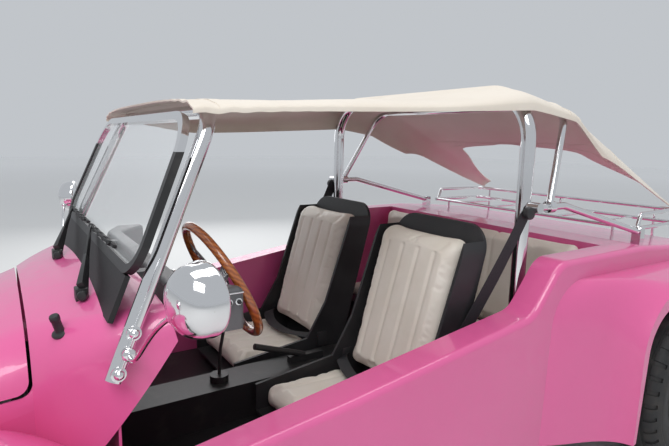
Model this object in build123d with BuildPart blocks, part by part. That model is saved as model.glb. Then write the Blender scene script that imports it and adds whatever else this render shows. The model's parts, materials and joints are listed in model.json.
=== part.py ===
from build123d import *
import math
import os

os.makedirs("parts", exist_ok=True)

# Four-seat beach buggy on a rear-engined platform, in millimetres.
# +Z is up, -Y is the front of the car and +X is the car's left side.
# The origin lies on the ground, below the middle of the length.
# A station is a distance behind the front axle.

# Overall layout
wheelbase = 2400.0
front_overhang = 600.0
rear_overhang = 680.0
overall_length = front_overhang + wheelbase + rear_overhang
front_axle_y = front_overhang - overall_length / 2
wall = 6.0
shut_gap = 7.0
seat_gap = 0.3

# Wheels
front_tyre_radius = 310.0
front_tyre_width = 186.0
front_tyre_x = 680.0
rear_tyre_radius = 335.0
rear_tyre_width = 245.0
rear_tyre_x = 800.0
rim_radius = 190.0
kingpin_x = 600.0

# Tub
floor_z = 230.0
floor_thickness = 6.0
sill_z = 225.0
ledge_inner_x = 646.0
ledge_outer_x = 745.0
haunch_x = 705.0
ledge_front = 362.0
ledge_front_z = 530.0
ledge_rear = wheelbase - 820.0
ledge_rear_z = 704.0
haunch_front = wheelbase - 690.0
haunch_z = 868.0
deck_rear = wheelbase + 380.0
deck_rear_z = 835.0
tail_station = wheelbase + 560.0
tail_z = 560.0
tail_foot_z = 490.0
seatback_station = wheelbase - 290.0
bench_station = wheelbase - 640.0
bench_z = 384.0
edge_radius = 20.0

# Front body
bonnet_rear = 192.0
bonnet_rear_z = 676.0
bonnet_front = -330.0
bonnet_front_z = 590.0
hinge_x = 110.0
hinge_z = 700.0
hinge_radius = 8.0
hinge_pin = 4.0
scuttle_tip = 486.0
scuttle_tip_z = 792.0
scuttle_foot = 345.0
scuttle_foot_z = 545.0
splash_station = 356.0
toe_station = 190.0
toe_half = 345.0

# Tubes
post_radius = 19.0
hoop_radius = 25.4
hoop_x = 585.0
hoop_station = wheelbase - 705.0
hoop_top_z = 1430.0
hoop_bend = 170.0
stay_radius = 13.0
stay_x = 638.0
stay_z = 1039.0
bow_radius = 12.5
bow_x = 558.0
bow_station = wheelbase - 466.0
bow_z = 1395.0
bumper_radius = 25.4


def at(station):
    """Y of a station measured behind the front axle."""
    return front_axle_y + station


def place(x, station, z):
    """Point from a half-width, a station and a height."""
    return (x, at(station), z)


def cross_plane(station):
    """Upright plane across the car; sketch x is the car's left and sketch y is up."""
    return Plane(origin=(0, at(station), 0), x_dir=(1, 0, 0), z_dir=(0, -1, 0))


def side_plane(x):
    """Upright plane along the car; sketch x is the station and sketch y is up."""
    return Plane(origin=(x, front_axle_y, 0), x_dir=(0, 1, 0), z_dir=(1, 0, 0))


def ground_plane(z=0.0):
    """Level plane; sketch x is the car's left and sketch y is the station."""
    return Plane(origin=(0, front_axle_y, z), x_dir=(1, 0, 0), z_dir=(0, 0, 1))


def sweep_bar(points, bend, radius):
    """Sweep a round bar through the points of the open part."""
    with BuildLine() as route:
        if bend:
            FilletPolyline(*points, radius=bend)
        else:
            Polyline(*points)
    with BuildSketch(Plane(origin=route.line @ 0, z_dir=route.line % 0)) as ring:
        Circle(radius)
    sweep(ring.sketch, path=route.line)


def disc(x, station, z, axis, radius, thickness, mode=Mode.ADD):
    """Add or cut a disc centred on a point of the open part."""
    with BuildSketch(Plane(origin=place(x, station, z), z_dir=axis)) as face:
        Circle(radius)
    extrude(face.sketch, amount=thickness / 2, both=True, mode=mode)


def block(low, high, mode=Mode.ADD):
    """Add or cut a block between two corners given by half-width, station and height."""
    size = [high[i] - low[i] for i in range(3)]
    middle = [(high[i] + low[i]) / 2 for i in range(3)]
    with Locations(place(*middle)):
        Box(size[0], size[1], size[2], mode=mode)


def side_prism(points, low_x, high_x, mode=Mode.ADD, radius=0.0):
    """Add or cut a prism across the car from its outline in stations and heights."""
    with BuildSketch(side_plane(low_x)) as face:
        with BuildLine():
            Polyline(*points, close=True)
        make_face()
        if radius:
            fillet(face.vertices(), radius)
    extrude(face.sketch, amount=high_x - low_x, mode=mode)


def both_sides(shape):
    """A shape on the car's left and its mirror image on the right."""
    return [shape, shape.mirror(Plane.YZ)]


def save(builder, name):
    """Label a finished piece and write it."""
    builder.part.label = name
    export_step(builder.part, "parts/" + name + ".step")


# Crowned body sections: station, crown height, corner half-width, corner height,
# foot half-width, foot height, corner radius
nose_sections = [
    (-525.0, 548.0, 200.0, 528.0, 180.0, 420.0, 45.0),
    (-430.0, 640.0, 300.0, 600.0, 280.0, 405.0, 85.0),
    (-150.0, 738.0, 410.0, 690.0, 385.0, 480.0, 130.0),
    (200.0, 822.0, 468.0, 778.0, 440.0, scuttle_foot_z, 150.0),
]
scuttle_sections = [
    (198.0, 822.0, 468.0, 778.0, 440.0, scuttle_foot_z, 150.0),
    (345.0, 868.0, 540.0, 836.0, 560.0, scuttle_foot_z, 90.0),
    (500.0, 896.0, 582.0, 866.0, 640.0, scuttle_foot_z, 75.0),
]


def sink(inset):
    """How far an inner form runs below the outer one, so that the shell is open below."""
    return 4 * max(inset, 0.0)


def body_section(row, inset, shift):
    """Closed section of the crowned front body, drawn smaller by the inset."""
    station, crown_z, corner_x, corner_z, foot_x, foot_z, radius = row
    with BuildSketch(cross_plane(station + shift)) as face:
        with BuildLine():
            Polyline(
                (-corner_x + inset, corner_z - inset),
                (-foot_x + inset, foot_z - sink(inset)),
                (foot_x - inset, foot_z - sink(inset)),
                (corner_x - inset, corner_z - inset),
            )
            ThreePointArc(
                (corner_x - inset, corner_z - inset),
                (0, crown_z - inset),
                (-corner_x + inset, corner_z - inset),
            )
        make_face()
        fillet(face.vertices().group_by(Axis.Y)[-1], radius - inset)
    return face.sketch


def nose_blank(inset):
    """Nose and bonnet form, closed at the front."""
    return loft([body_section(row, inset, inset) for row in nose_sections], mode=Mode.PRIVATE)


def scuttle_blank(inset):
    """Scuttle form, wider towards the cockpit."""
    return loft([body_section(row, inset, 0.0) for row in scuttle_sections], mode=Mode.PRIVATE)


# Front wings: plane, front foot station and height, crown station and height,
# rear foot station and height
front_wing_rows = [
    (380.0, -440.0, 425.0, -60.0, 600.0, 250.0, 480.0),
    (480.0, -455.0, 425.0, -55.0, 662.0, 300.0, 500.0),
    (610.0, -462.0, 415.0, -50.0, 700.0, 332.0, 495.0),
    (800.0, -440.0, 400.0, -45.0, 682.0, 335.0, 470.0),
]
wing_lip = 30.0


def wing_arc(row, x, inset, drop):
    """Side outline of the front wing on one plane, drawn smaller by the inset."""
    front, front_z, crown, crown_z, rear, rear_z = row[1:]
    with BuildSketch(side_plane(x)) as face:
        with BuildLine():
            ThreePointArc(
                (front + inset, front_z - drop), (crown, crown_z - inset), (rear - inset, rear_z - drop))
            Line((rear - inset, rear_z - drop), (front + inset, front_z - drop))
        make_face()
    return face.sketch


def front_wing_blank(inset):
    """Front wing form lofted outwards, drawn smaller by the inset."""
    faces = [wing_arc(row, row[0] - inset, inset, 3 * inset) for row in front_wing_rows]
    return loft(faces, mode=Mode.PRIVATE)


def front_wing_mouth():
    """Opening that leaves a lip round the outer side of the front wing."""
    last = front_wing_rows[-1]
    return extrude(wing_arc(last, last[0] - 2 * wall, wing_lip, wing_lip), amount=60.0, mode=Mode.PRIVATE)


def bonnet_prism(clearance, mode):
    """Prism across the car that holds the bonnet lid, larger by the clearance."""
    side_prism([
        (bonnet_rear + clearance, 1000.0),
        (bonnet_rear + clearance, bonnet_rear_z - clearance),
        (bonnet_front - clearance, bonnet_front_z - clearance),
        (bonnet_front - clearance, 1000.0),
    ], -700.0, 700.0, mode, 34.0)


with BuildPart() as front_body:
    add(nose_blank(0.0))
    add(scuttle_blank(0.0))
    add(nose_blank(wall), mode=Mode.SUBTRACT)
    add(scuttle_blank(wall), mode=Mode.SUBTRACT)
    bonnet_prism(shut_gap, Mode.SUBTRACT)
    front_wing = front_wing_blank(0.0) - front_wing_blank(wall) - front_wing_mouth() - nose_blank(0.0)
    add(both_sides(front_wing))
    # the cabin side of the scuttle is open, and its side plates end on a raked edge
    side_prism([
        (scuttle_foot - 60, scuttle_foot_z - 100), (scuttle_foot - 60, scuttle_foot_z - 50),
        (scuttle_tip, scuttle_tip_z), (450.0, 960.0), (700.0, 960.0),
        (700.0, scuttle_foot_z - 100)], -800.0, 800.0, Mode.SUBTRACT)
    # splash panels close the body behind the front wheels
    for side in (1, -1):
        x0, x1 = sorted((side * toe_half, side * (ledge_outer_x - 20)))
        block((x0, splash_station, floor_z), (x1, ledge_front, scuttle_foot_z + 4))
        x0, x1 = sorted((side * toe_half, side * 557.0))
        block((x0, splash_station, scuttle_foot_z), (x1, ledge_front, 660.0))
    # hinge lugs with a pin at the front edge of the lid
    for side in (1, -1):
        x = side * hinge_x
        block((x - 10, bonnet_front - 22, hinge_z - 30), (x + 10, bonnet_front - 4, hinge_z))
        disc(x, bonnet_front, hinge_z, (1, 0, 0), hinge_radius, 20.0)
        disc(x + side * 14, bonnet_front, hinge_z, (1, 0, 0), hinge_pin, 44.0)
save(front_body, "front_body")

with BuildPart() as bonnet:
    add(nose_blank(0.0))
    add(nose_blank(wall), mode=Mode.SUBTRACT)
    bonnet_prism(0.0, Mode.INTERSECT)
    for side in (1, -1):
        x = side * (hinge_x + 22)
        block((x - 10, bonnet_front + 1, hinge_z - 24), (x + 10, bonnet_front + 22, hinge_z))
        disc(x, bonnet_front, hinge_z, (1, 0, 0), hinge_radius, 20.0)
        disc(x, bonnet_front, hinge_z, (1, 0, 0), hinge_pin + 0.05, 60.0, Mode.SUBTRACT)
save(bonnet, "bonnet")

# Tub: cockpit sides with flat ledges, haunches, rear deck, tail and rear wings.
def tub_profile(inset):
    """Side view of the tub, drawn smaller by the inset."""
    tail_foot = (tail_station - 90.0, tail_foot_z - sink(inset))
    with BuildSketch(side_plane(0)) as face:
        with BuildLine():
            FilletPolyline(
                (ledge_front + inset, sill_z - sink(inset)),
                (ledge_front + inset, ledge_front_z - inset),
                (ledge_rear, ledge_rear_z - inset),
                (haunch_front, haunch_z - inset),
                (wheelbase - 150.0, haunch_z + 4 - inset),
                (deck_rear, deck_rear_z - inset),
                (tail_station - inset, tail_z),
                tail_foot,
                radius=90.0)
            Polyline(
                tail_foot, (wheelbase - 410.0, tail_foot[1]), (wheelbase - 410.0, sill_z - sink(inset)),
                (ledge_front + inset, sill_z - sink(inset)))
        make_face()
    return face.sketch


# Plan of the tub: station and half-width
tub_plan_rows = [
    (ledge_front, ledge_outer_x - 15.0),
    (900.0, ledge_outer_x),
    (wheelbase + 100.0, ledge_outer_x),
    (tail_station, haunch_x - 90.0),
]


def tub_plan(inset):
    """Plan view of the tub, drawn smaller by the inset."""
    left = [(half - inset, station) for station, half in tub_plan_rows]
    right = [(-half + inset, station) for station, half in reversed(tub_plan_rows)]
    with BuildSketch(ground_plane()) as face:
        with BuildLine():
            Polyline(*left, *right, close=True)
        make_face()
    return face.sketch


def tub_blank(inset):
    """Solid form of the tub with its upper side edges rounded."""
    tall = extrude(tub_plan(inset), amount=1000.0, mode=Mode.PRIVATE)
    wide = extrude(tub_profile(inset), amount=800.0, both=True, mode=Mode.PRIVATE)
    form = tall & wide
    if not isinstance(form, Part):
        form = Part(form.wrapped)
    rims = form.edges().filter_by(lambda e: abs(e.center().X) > 600 and e.center().Z > ledge_front_z - 20
                                  and e.bounding_box().size.Y > 15 and e.bounding_box().size.X < 100)
    return form.fillet(edge_radius - inset, rims)


# Rear wings: plane, then station from the rear axle and height of the front foot,
# front shoulder, rear shoulder and rear foot, and the shoulder radius
rear_wing_rows = [
    (700.0, -800.0, 230.0, -775.0, 806.0, 430.0, 800.0, 590.0, 500.0, 150.0),
    (752.0, -720.0, 225.0, -700.0, 800.0, 420.0, 792.0, 575.0, 490.0, 160.0),
    (820.0, -540.0, 220.0, -530.0, 790.0, 380.0, 780.0, 545.0, 480.0, 190.0),
    (910.0, -432.0, 215.0, -425.0, 762.0, 330.0, 752.0, 505.0, 470.0, 230.0),
]


def wing_outline(row, x, inset, drop):
    """Side outline of the rear wing on one plane, drawn smaller by the inset."""
    low, low_z, front, front_z, rear, rear_z, high, high_z, radius = row[1:]
    with BuildSketch(side_plane(x)) as face:
        with BuildLine():
            FilletPolyline(
                (wheelbase + low + inset, low_z - drop), (wheelbase + front + inset, front_z - inset),
                (wheelbase + rear - inset, rear_z - inset), (wheelbase + high - inset, high_z - drop),
                radius=radius - inset)
            Line((wheelbase + high - inset, high_z - drop), (wheelbase + low + inset, low_z - drop))
        make_face()
    return face.sketch


def rear_wing_blank(inset):
    """Rear wing form lofted outwards, drawn smaller by the inset."""
    faces = [wing_outline(row, row[0] - inset, inset, 3 * inset) for row in rear_wing_rows]
    return loft(faces, mode=Mode.PRIVATE)


# Edge of the rear wheel arch: distances from the axle ahead, behind and above
arch_ahead = -430.0
arch_behind = 420.0
arch_z = 700.0
arch_bend = 170.0


def rear_arch():
    """Prism that opens the rear wheel arch outside the cabin wall."""
    with BuildSketch(side_plane(ledge_inner_x + 4.0)) as arch:
        with BuildLine():
            FilletPolyline(
                (wheelbase + arch_ahead, 0.0), (wheelbase + arch_ahead + 45.0, arch_z),
                (wheelbase + arch_behind - 45.0, arch_z), (wheelbase + arch_behind, 0.0),
                radius=arch_bend)
            Line((wheelbase + arch_behind, 0.0), (wheelbase + arch_ahead, 0.0))
        make_face()
    return extrude(arch.sketch, amount=400.0, mode=Mode.PRIVATE)


cabin_half = ledge_inner_x - wall


with BuildPart() as tub_hollow:
    add(tub_blank(wall))
    for side in (-1, 1):
        x0, x1 = sorted((side * cabin_half, side * ledge_inner_x))
        block((x0, 0.0, 0.0), (x1, seatback_station, 1000.0), Mode.SUBTRACT)
    block((-ledge_inner_x, seatback_station, 0.0),
          (ledge_inner_x, seatback_station + wall, 1000.0), Mode.SUBTRACT)

with BuildPart() as body_tub:
    add(tub_blank(0.0))
    add(tub_hollow.part, mode=Mode.SUBTRACT)
    block((-cabin_half, 200.0, 0.0), (cabin_half, seatback_station, 1200.0), Mode.SUBTRACT)
    rear_wing = rear_wing_blank(0.0) - rear_wing_blank(wall) - tub_blank(0.0)
    add(both_sides(rear_wing))
    add(both_sides(rear_arch()), mode=Mode.SUBTRACT)
save(body_tub, "body_tub")

# Floor pan: plate, central tunnel, toe board and the step under the rear bench
tunnel_half = 75.0
tunnel_z = 370.0
torsion_station = wheelbase - 360.0
torsion_z = 300.0
torsion_radius = 38.0
torsion_half = 520.0
torsion_plate_x = 420.0
axle_z = front_tyre_radius
beam_station = -125.0
beam_radius = 30.0
arm_drop = 72.0
upper_beam_z = axle_z + arm_drop
head_half = 90.0
toe_top_z = 520.0
with BuildPart() as floor_pan:
    block((-cabin_half, ledge_front, floor_z), (cabin_half, bench_station, floor_z + floor_thickness))
    block((-toe_half, toe_station, floor_z), (toe_half, ledge_front, floor_z + floor_thickness))
    block((-tunnel_half, toe_station, floor_z), (tunnel_half, bench_station, tunnel_z))
    block((-toe_half, toe_station, floor_z), (toe_half, toe_station + floor_thickness, toe_top_z))
    for side in (1, -1):
        x0, x1 = sorted((side * toe_half, side * (toe_half - floor_thickness)))
        block((x0, toe_station, floor_z), (x1, splash_station, toe_top_z))
    block((-cabin_half, bench_station - floor_thickness, floor_z), (cabin_half, bench_station, bench_z))
    block((-cabin_half, bench_station, bench_z - floor_thickness), (cabin_half, seatback_station, bench_z))
    for side in (1, -1):
        block((side * torsion_plate_x - 12, bench_station, torsion_z),
              (side * torsion_plate_x + 12, torsion_station, bench_z))
    disc(0, torsion_station, torsion_z, (1, 0, 0), torsion_radius, 2 * torsion_half)
    # the frame head runs forward from the toe board to the front axle beam
    block((-head_half, beam_station + beam_radius + seat_gap, upper_beam_z - 42.0),
          (head_half, toe_station + 1.0, upper_beam_z + 4.0))
save(floor_pan, "floor_pan")

# Pedals on the toe board and levers on the tunnel
floor_top = floor_z + floor_thickness
pedal_rows = [(215.0, 30.0), (295.0, 24.0)]
pedal_z = 400.0
with BuildPart() as pedals:
    for x, half in pedal_rows:
        block((x - 8, toe_station + floor_thickness + seat_gap, 470.0), (x + 8, toe_station + 46, 486.0))
        block((x - 5, toe_station + 34, pedal_z), (x + 5, toe_station + 46, 480.0))
        block((x - half, toe_station + 38, pedal_z - 40), (x + half, toe_station + 48, pedal_z + 14))
save(pedals, "pedals")

lever_station = 800.0
brake_station = 1090.0
with BuildPart() as hand_controls:
    disc(0, lever_station, tunnel_z + seat_gap + 12, (0, 0, 1), 34.0, 24.0)
    sweep_bar([place(0, lever_station, tunnel_z + 14), place(0, lever_station + 6, tunnel_z + 120),
               place(0, lever_station + 40, tunnel_z + 290)], 60.0, 6.0)
    with Locations(place(0, lever_station + 41, tunnel_z + 300)):
        Sphere(22.0)
    block((-14.0, brake_station, tunnel_z + seat_gap), (14.0, brake_station + 150, tunnel_z + 26))
    disc(0, brake_station - 40, tunnel_z + 62, (0, -1, 0.35), 12.0, 230.0)
save(hand_controls, "hand_controls")

# Steering wheel, column and box
steer_x = 327.0
steer_station = 691.0
steer_z = 845.0
steer_lean = 27.0
steer_radius = 182.0
rim_bar_radius = 13.5
hub_depth = 60.0
column_radius = 19.0
column_length = 630.0
steer_centre = Vector(*place(steer_x, steer_station, steer_z))
steer_axis = Vector(0, math.cos(math.radians(steer_lean)), math.sin(math.radians(steer_lean)))
steer_plane = Plane(origin=steer_centre, x_dir=(1, 0, 0), z_dir=steer_axis)
with BuildPart() as steering_wheel:
    with BuildSketch(Plane(origin=steer_plane.from_local_coords((steer_radius, 0, 0)),
                           x_dir=(1, 0, 0), z_dir=steer_plane.y_dir)) as rim_ring:
        Circle(rim_bar_radius)
    revolve(rim_ring.sketch, axis=Axis(steer_centre, steer_axis), revolution_arc=360)
    with BuildSketch(steer_plane.offset(-hub_depth)) as hub:
        Circle(30.0)
    extrude(hub.sketch, amount=hub_depth + 6, taper=6)
    with BuildSketch(steer_plane.offset(-3.0)) as spokes:
        with PolarLocations(0, 3, start_angle=-90):
            with Locations((steer_radius / 2, 0)):
                Rectangle(steer_radius - 4.0, 34.0)
            with Locations((steer_radius * 0.62, 0)):
                SlotOverall(80.0, 12.0, mode=Mode.SUBTRACT)
    extrude(spokes.sketch, amount=4.0)
save(steering_wheel, "steering_wheel")


def along_column(distance):
    """Plane across the steering column, a distance below the wheel."""
    return steer_plane.offset(-distance)


# Dashboard below the rear edge of the scuttle, its ends swept back
dash_foot_z = 776.0
dash_top_z = 884.0
dash_face = 566.0
dash_front = 506.0
dash_end = 668.0
dash_half = 552.0
dash_flat = 400.0
dash_bracket_x = 240.0
with BuildPart() as dashboard:
    with BuildSketch(ground_plane(dash_foot_z)) as dash_plan:
        with BuildLine():
            FilletPolyline(
                (dash_half, dash_end - 90), (dash_half, dash_end), (dash_half - 30, dash_end),
                (dash_flat, dash_face), (-dash_flat, dash_face), (-dash_half + 30, dash_end),
                (-dash_half, dash_end), (-dash_half, dash_end - 90), radius=14.0)
            Polyline((-dash_half, dash_end - 90), (-dash_flat, dash_front), (dash_flat, dash_front),
                     (dash_half, dash_end - 90))
        make_face()
    extrude(dash_plan.sketch, amount=dash_top_z - dash_foot_z)
    fillet(dashboard.faces().sort_by(Axis.Z)[-1].edges().filter_by(lambda e: e.length > 400), 16.0)
    for side in (1, -1):
        x = side * dash_bracket_x
        block((x - 20, dash_front - 50, dash_top_z - 40), (x + 20, dash_front + 10, dash_top_z - 4))
    add(scuttle_blank(-2.0) - scuttle_blank(wall + seat_gap), mode=Mode.SUBTRACT)
    with BuildSketch(along_column(0.0)) as column_way:
        Circle(column_radius + seat_gap)
    extrude(column_way.sketch, amount=-400.0, mode=Mode.SUBTRACT)
save(dashboard, "dashboard")

with BuildPart() as steering_column:
    with BuildSketch(along_column(hub_depth + seat_gap + column_length)) as column:
        Circle(column_radius)
    extrude(column.sketch, amount=column_length)
    with BuildSketch(along_column(hub_depth + seat_gap + column_length)) as box_end:
        Circle(42.0)
    extrude(box_end.sketch, amount=70.0)
save(steering_column, "steering_column")

# Windscreen: frame in two halves, glass and the strip below it
screen_foot_x = 586.0
screen_foot = 396.0
screen_foot_z = 941.0
screen_top_x = 535.0
screen_top = 556.0
screen_top_z = 1313.0
frame_width = 22.0
frame_depth = 18.0
frame_split_z = 1220.0
glass_thickness = 5.0
screen_slope = math.hypot(screen_top - screen_foot, screen_top_z - screen_foot_z)
screen_plane = Plane(
    origin=place(0, screen_foot, screen_foot_z), x_dir=(1, 0, 0),
    z_dir=(0, -(screen_top_z - screen_foot_z), screen_top - screen_foot))


def screen_outline(inset):
    """Rounded outline of the windscreen on its own plane."""
    with BuildSketch(screen_plane) as face:
        with BuildLine():
            Polyline(
                (-screen_foot_x + inset, inset), (screen_foot_x - inset, inset),
                (screen_top_x - inset, screen_slope - inset),
                (-screen_top_x + inset, screen_slope - inset), close=True)
        make_face()
        fillet(face.vertices().group_by(Axis.Y)[0], 80.0 - inset)
        fillet(face.vertices().group_by(Axis.Y)[-1], 130.0 - inset)
    return face.sketch


for name, low_z, high_z in (
        ("screen_frame_upper", frame_split_z, 1500.0), ("screen_frame_lower", 600.0, frame_split_z)):
    with BuildPart() as screen_frame:
        extrude(screen_outline(0.0), amount=frame_depth / 2, both=True)
        extrude(screen_outline(frame_width), amount=frame_depth / 2, both=True, mode=Mode.SUBTRACT)
        block((-700.0, 200.0, low_z), (700.0, 900.0, high_z), Mode.INTERSECT)
    save(screen_frame, name)
with BuildPart() as screen_glass:
    extrude(screen_outline(frame_width + seat_gap), amount=glass_thickness / 2, both=True)
save(screen_glass, "screen_glass")

base_drop = 110.0
base_half = 535.0
with BuildPart() as screen_base:
    with BuildSketch(screen_plane.offset(-6.0)) as strip:
        with BuildLine():
            Polyline((-base_half, -base_drop), (base_half, -base_drop), (base_half - 7, -seat_gap),
                     (-base_half + 7, -seat_gap), close=True)
        make_face()
    extrude(strip.sketch, amount=12.0)
    add(scuttle_blank(-seat_gap), mode=Mode.SUBTRACT)
save(screen_base, "screen_base")

# Chrome posts beside the windscreen, joined above it by a bar
post_foot = (586.0, 345.0, 726.0)
post_crown = (504.0, 612.0, 1318.0)
post_bolt_rows = [(354.0, 744.0), (392.0, 826.0)]
with BuildPart() as screen_posts:
    sweep_bar([
        place(-post_foot[0], post_foot[1], post_foot[2]),
        place(-post_crown[0], post_crown[1], post_crown[2]),
        place(post_crown[0], post_crown[1], post_crown[2]),
        place(post_foot[0], post_foot[1], post_foot[2]),
    ], 90.0, post_radius)
    for side in (1, -1):
        for station, z in post_bolt_rows:
            disc(side * 560.0, station, z, (1, 0, 0), 10.0, 50.0)
    add(scuttle_blank(-seat_gap), mode=Mode.SUBTRACT)
save(screen_posts, "screen_posts")

# Fuel filler cap and wipers on the scuttle
with BuildPart() as filler_cap:
    disc(402.0, 261.0, 812.0, (0.28, -0.3, 0.9), 38.0, 56.0)
    disc(402.0, 261.0, 812.0, (0.28, -0.3, 0.9), 32.0, 76.0)
    add(scuttle_blank(-seat_gap), mode=Mode.SUBTRACT)
save(filler_cap, "filler_cap")

wiper_rows = [(284.0, 332.0, 846.0), (-238.0, 332.0, 853.0)]
with BuildPart() as wipers:
    for x, station, z in wiper_rows:
        disc(x, station, z + 12.0, (0, -0.35, 0.94), 15.0, 26.0)
        sweep_bar([place(x, station - 8, z + 24), place(x - 30, station + 22, z + 78),
                   place(x - 60, station + 62, z + 190)], 20.0, 5.0)
    add(scuttle_blank(-seat_gap), mode=Mode.SUBTRACT)
save(wipers, "wipers")

# Door mirrors with tapered backs on bent arms held by the windscreen posts
mirror_x = 880.0
mirror_station = 427.0
mirror_z = 976.0
mirror_radius = 66.0
mirror_depth = 62.0
with BuildPart() as mirrors:
    for side in (1, -1):
        head = Plane(origin=place(side * mirror_x, mirror_station + 20, mirror_z), z_dir=(0.3 * side, -1, 0))
        with BuildSketch(head) as mirror_face:
            Circle(mirror_radius)
        extrude(mirror_face.sketch, amount=14.0)
        with BuildSketch(head.offset(14.0)) as mirror_back:
            Circle(mirror_radius)
        extrude(mirror_back.sketch, amount=mirror_depth, taper=32)
        disc(side * 608.5, 375.0, 790.0, (1, 0, 0), 13.0, 20.0)
        sweep_bar([place(side * 605.0, 375.0, 790.0), place(side * 660.0, 378.0, 796.0),
                   place(side * 815.0, mirror_station - 30, 925.0),
                   place(side * 866.0, mirror_station - 5, 966.0)], 18.0, 6.0)
save(mirrors, "mirrors")

# Main hoop, stays and rear bow
hoop_foot_z = floor_top
with BuildPart() as main_hoop:
    sweep_bar([
        place(-hoop_x, hoop_station, hoop_foot_z + 6), place(-hoop_x, hoop_station, hoop_top_z),
        place(hoop_x, hoop_station, hoop_top_z), place(hoop_x, hoop_station, hoop_foot_z + 6),
    ], hoop_bend, hoop_radius)
    for side in (1, -1):
        block((side * hoop_x - 50, hoop_station - 50, hoop_foot_z),
              (side * hoop_x + 50, hoop_station + 50, hoop_foot_z + 6))
save(main_hoop, "main_hoop")

stay_bend_station = wheelbase - 550.0
clamp_station = wheelbase - 10.0
clamp_top_z = 922.0
with BuildPart() as hoop_stays:
    for side in (1, -1):
        start = hoop_x + hoop_radius + seat_gap
        ball_end = stay_x + stay_radius + 4
        disc(side * (start + ball_end) / 2, hoop_station, stay_z, (1, 0, 0), 18.0, ball_end - start)
        sweep_bar([place(side * stay_x, hoop_station, stay_z), place(side * stay_x, stay_bend_station, stay_z),
                   place(side * stay_x, clamp_station, clamp_top_z - 22)], 60.0, stay_radius)
        block((side * stay_x - 18, clamp_station - 20, haunch_z - 60),
              (side * stay_x + 18, clamp_station + 14, clamp_top_z))
    add(tub_blank(-seat_gap), mode=Mode.SUBTRACT)
save(hoop_stays, "hoop_stays")

bow_foot = wheelbase - 632.0
with BuildPart() as rear_bow:
    sweep_bar([
        place(-stay_x, bow_foot, stay_z + stay_radius), place(-bow_x, bow_station, bow_z),
        place(bow_x, bow_station, bow_z), place(stay_x, bow_foot, stay_z + stay_radius),
    ], 110.0, bow_radius)
    for side in (1, -1):
        disc(side * stay_x, bow_foot, stay_z, (0, 1, 0), stay_radius + 8, 30.0)
        disc(side * stay_x, bow_foot, stay_z, (0, 1, 0), stay_radius + seat_gap, 60.0, Mode.SUBTRACT)
save(rear_bow, "rear_bow")

# Luggage rack on the rear deck
rack_front = wheelbase + 30.0
rack_rear = wheelbase + 400.0
rack_half = 600.0
rack_z = 905.0
rack_rail = 9.0
with BuildPart() as luggage_rack:
    sweep_bar([
        place(-rack_half, rack_front, rack_z), place(-rack_half, rack_rear, rack_z),
        place(rack_half, rack_rear, rack_z), place(rack_half, rack_front, rack_z),
    ], 25.0, rack_rail)
    sweep_bar([
        place(-rack_half, rack_front + 20, rack_z), place(-rack_half, rack_front + 40, rack_z + 60),
        place(-rack_half + 12, rack_rear - 4, rack_z + 60), place(rack_half - 12, rack_rear - 4, rack_z + 60),
        place(rack_half, rack_front + 40, rack_z + 60), place(rack_half, rack_front + 20, rack_z),
    ], 15.0, rack_rail)
    disc(0, rack_front + 12, rack_z, (1, 0, 0), 8.0, 2 * rack_half)
    for x in (-400.0, -200.0, 0.0, 200.0, 400.0):
        disc(x, (rack_front + rack_rear) / 2 + 6, rack_z, (0, 1, 0), 6.0, rack_rear - rack_front - 12)
    for x in (-500.0, 500.0):
        for station in (rack_front + 12, rack_rear):
            disc(x, station, rack_z - 40, (0, 0, 1), 7.0, 80.0)
    for x in (-500.0, 0.0, 500.0):
        disc(x, rack_rear, rack_z + 30, (0, 0, 1), 6.0, 60.0)
    add(tub_blank(-seat_gap), mode=Mode.SUBTRACT)
save(luggage_rack, "luggage_rack")

# Canvas canopy from the windscreen over the hoop and the bow to the tail:
# station, half-width, height of the side edge, height of the crown
canopy_thickness = 5.0
hoop_crown = hoop_top_z + hoop_radius + canopy_thickness + seat_gap
bow_crown = bow_z + bow_radius + canopy_thickness + seat_gap
canopy_rows = [
    (548.0, 545.0, 1303.0, 1346.0),
    (820.0, 556.0, 1319.0, 1362.0),
    (1150.0, 568.0, 1337.0, 1383.0),
    (1450.0, 580.0, 1352.0, 1412.0),
    (hoop_station - 20, 592.0, 1364.0, hoop_crown),
    (hoop_station + 20, 592.0, 1365.0, hoop_crown),
    (bow_station - 10, 602.0, 1337.0, bow_crown),
    (bow_station + 10, 602.0, 1332.0, bow_crown),
    (wheelbase - 200, 582.0, 1211.0, 1285.0),
    (wheelbase + 140, 574.0, 1066.0, 1105.0),
    (wheelbase + 412, 560.0, 986.0, 996.0),
]
canopy_shoulder = 55.0


def canopy_section(row):
    """Thin arched band across the car."""
    station, half, edge_z, crown_z = row
    inner = half - canopy_thickness
    with BuildSketch(cross_plane(station)) as face:
        with BuildLine():
            FilletPolyline((-half, edge_z), (-half + canopy_shoulder, crown_z),
                           (half - canopy_shoulder, crown_z), (half, edge_z), radius=80.0)
            Line((half, edge_z), (inner, edge_z))
            FilletPolyline((inner, edge_z), (inner - canopy_shoulder, crown_z - canopy_thickness),
                           (-inner + canopy_shoulder, crown_z - canopy_thickness), (-inner, edge_z),
                           radius=75.0)
            Line((-inner, edge_z), (-half, edge_z))
        make_face()
    return face.sketch


with BuildPart() as canopy:
    loft([canopy_section(row) for row in canopy_rows], ruled=True)
save(canopy, "canopy")

# Front bucket seats: shells with side walls, and padding inside them
seat_x = 330.0
seat_half = 235.0
seat_front = 900.0
seat_pan_z = 262.0
seat_rear = 1380.0
seat_top = 1555.0
seat_top_z = 972.0
shell_wall = 12.0


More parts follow.
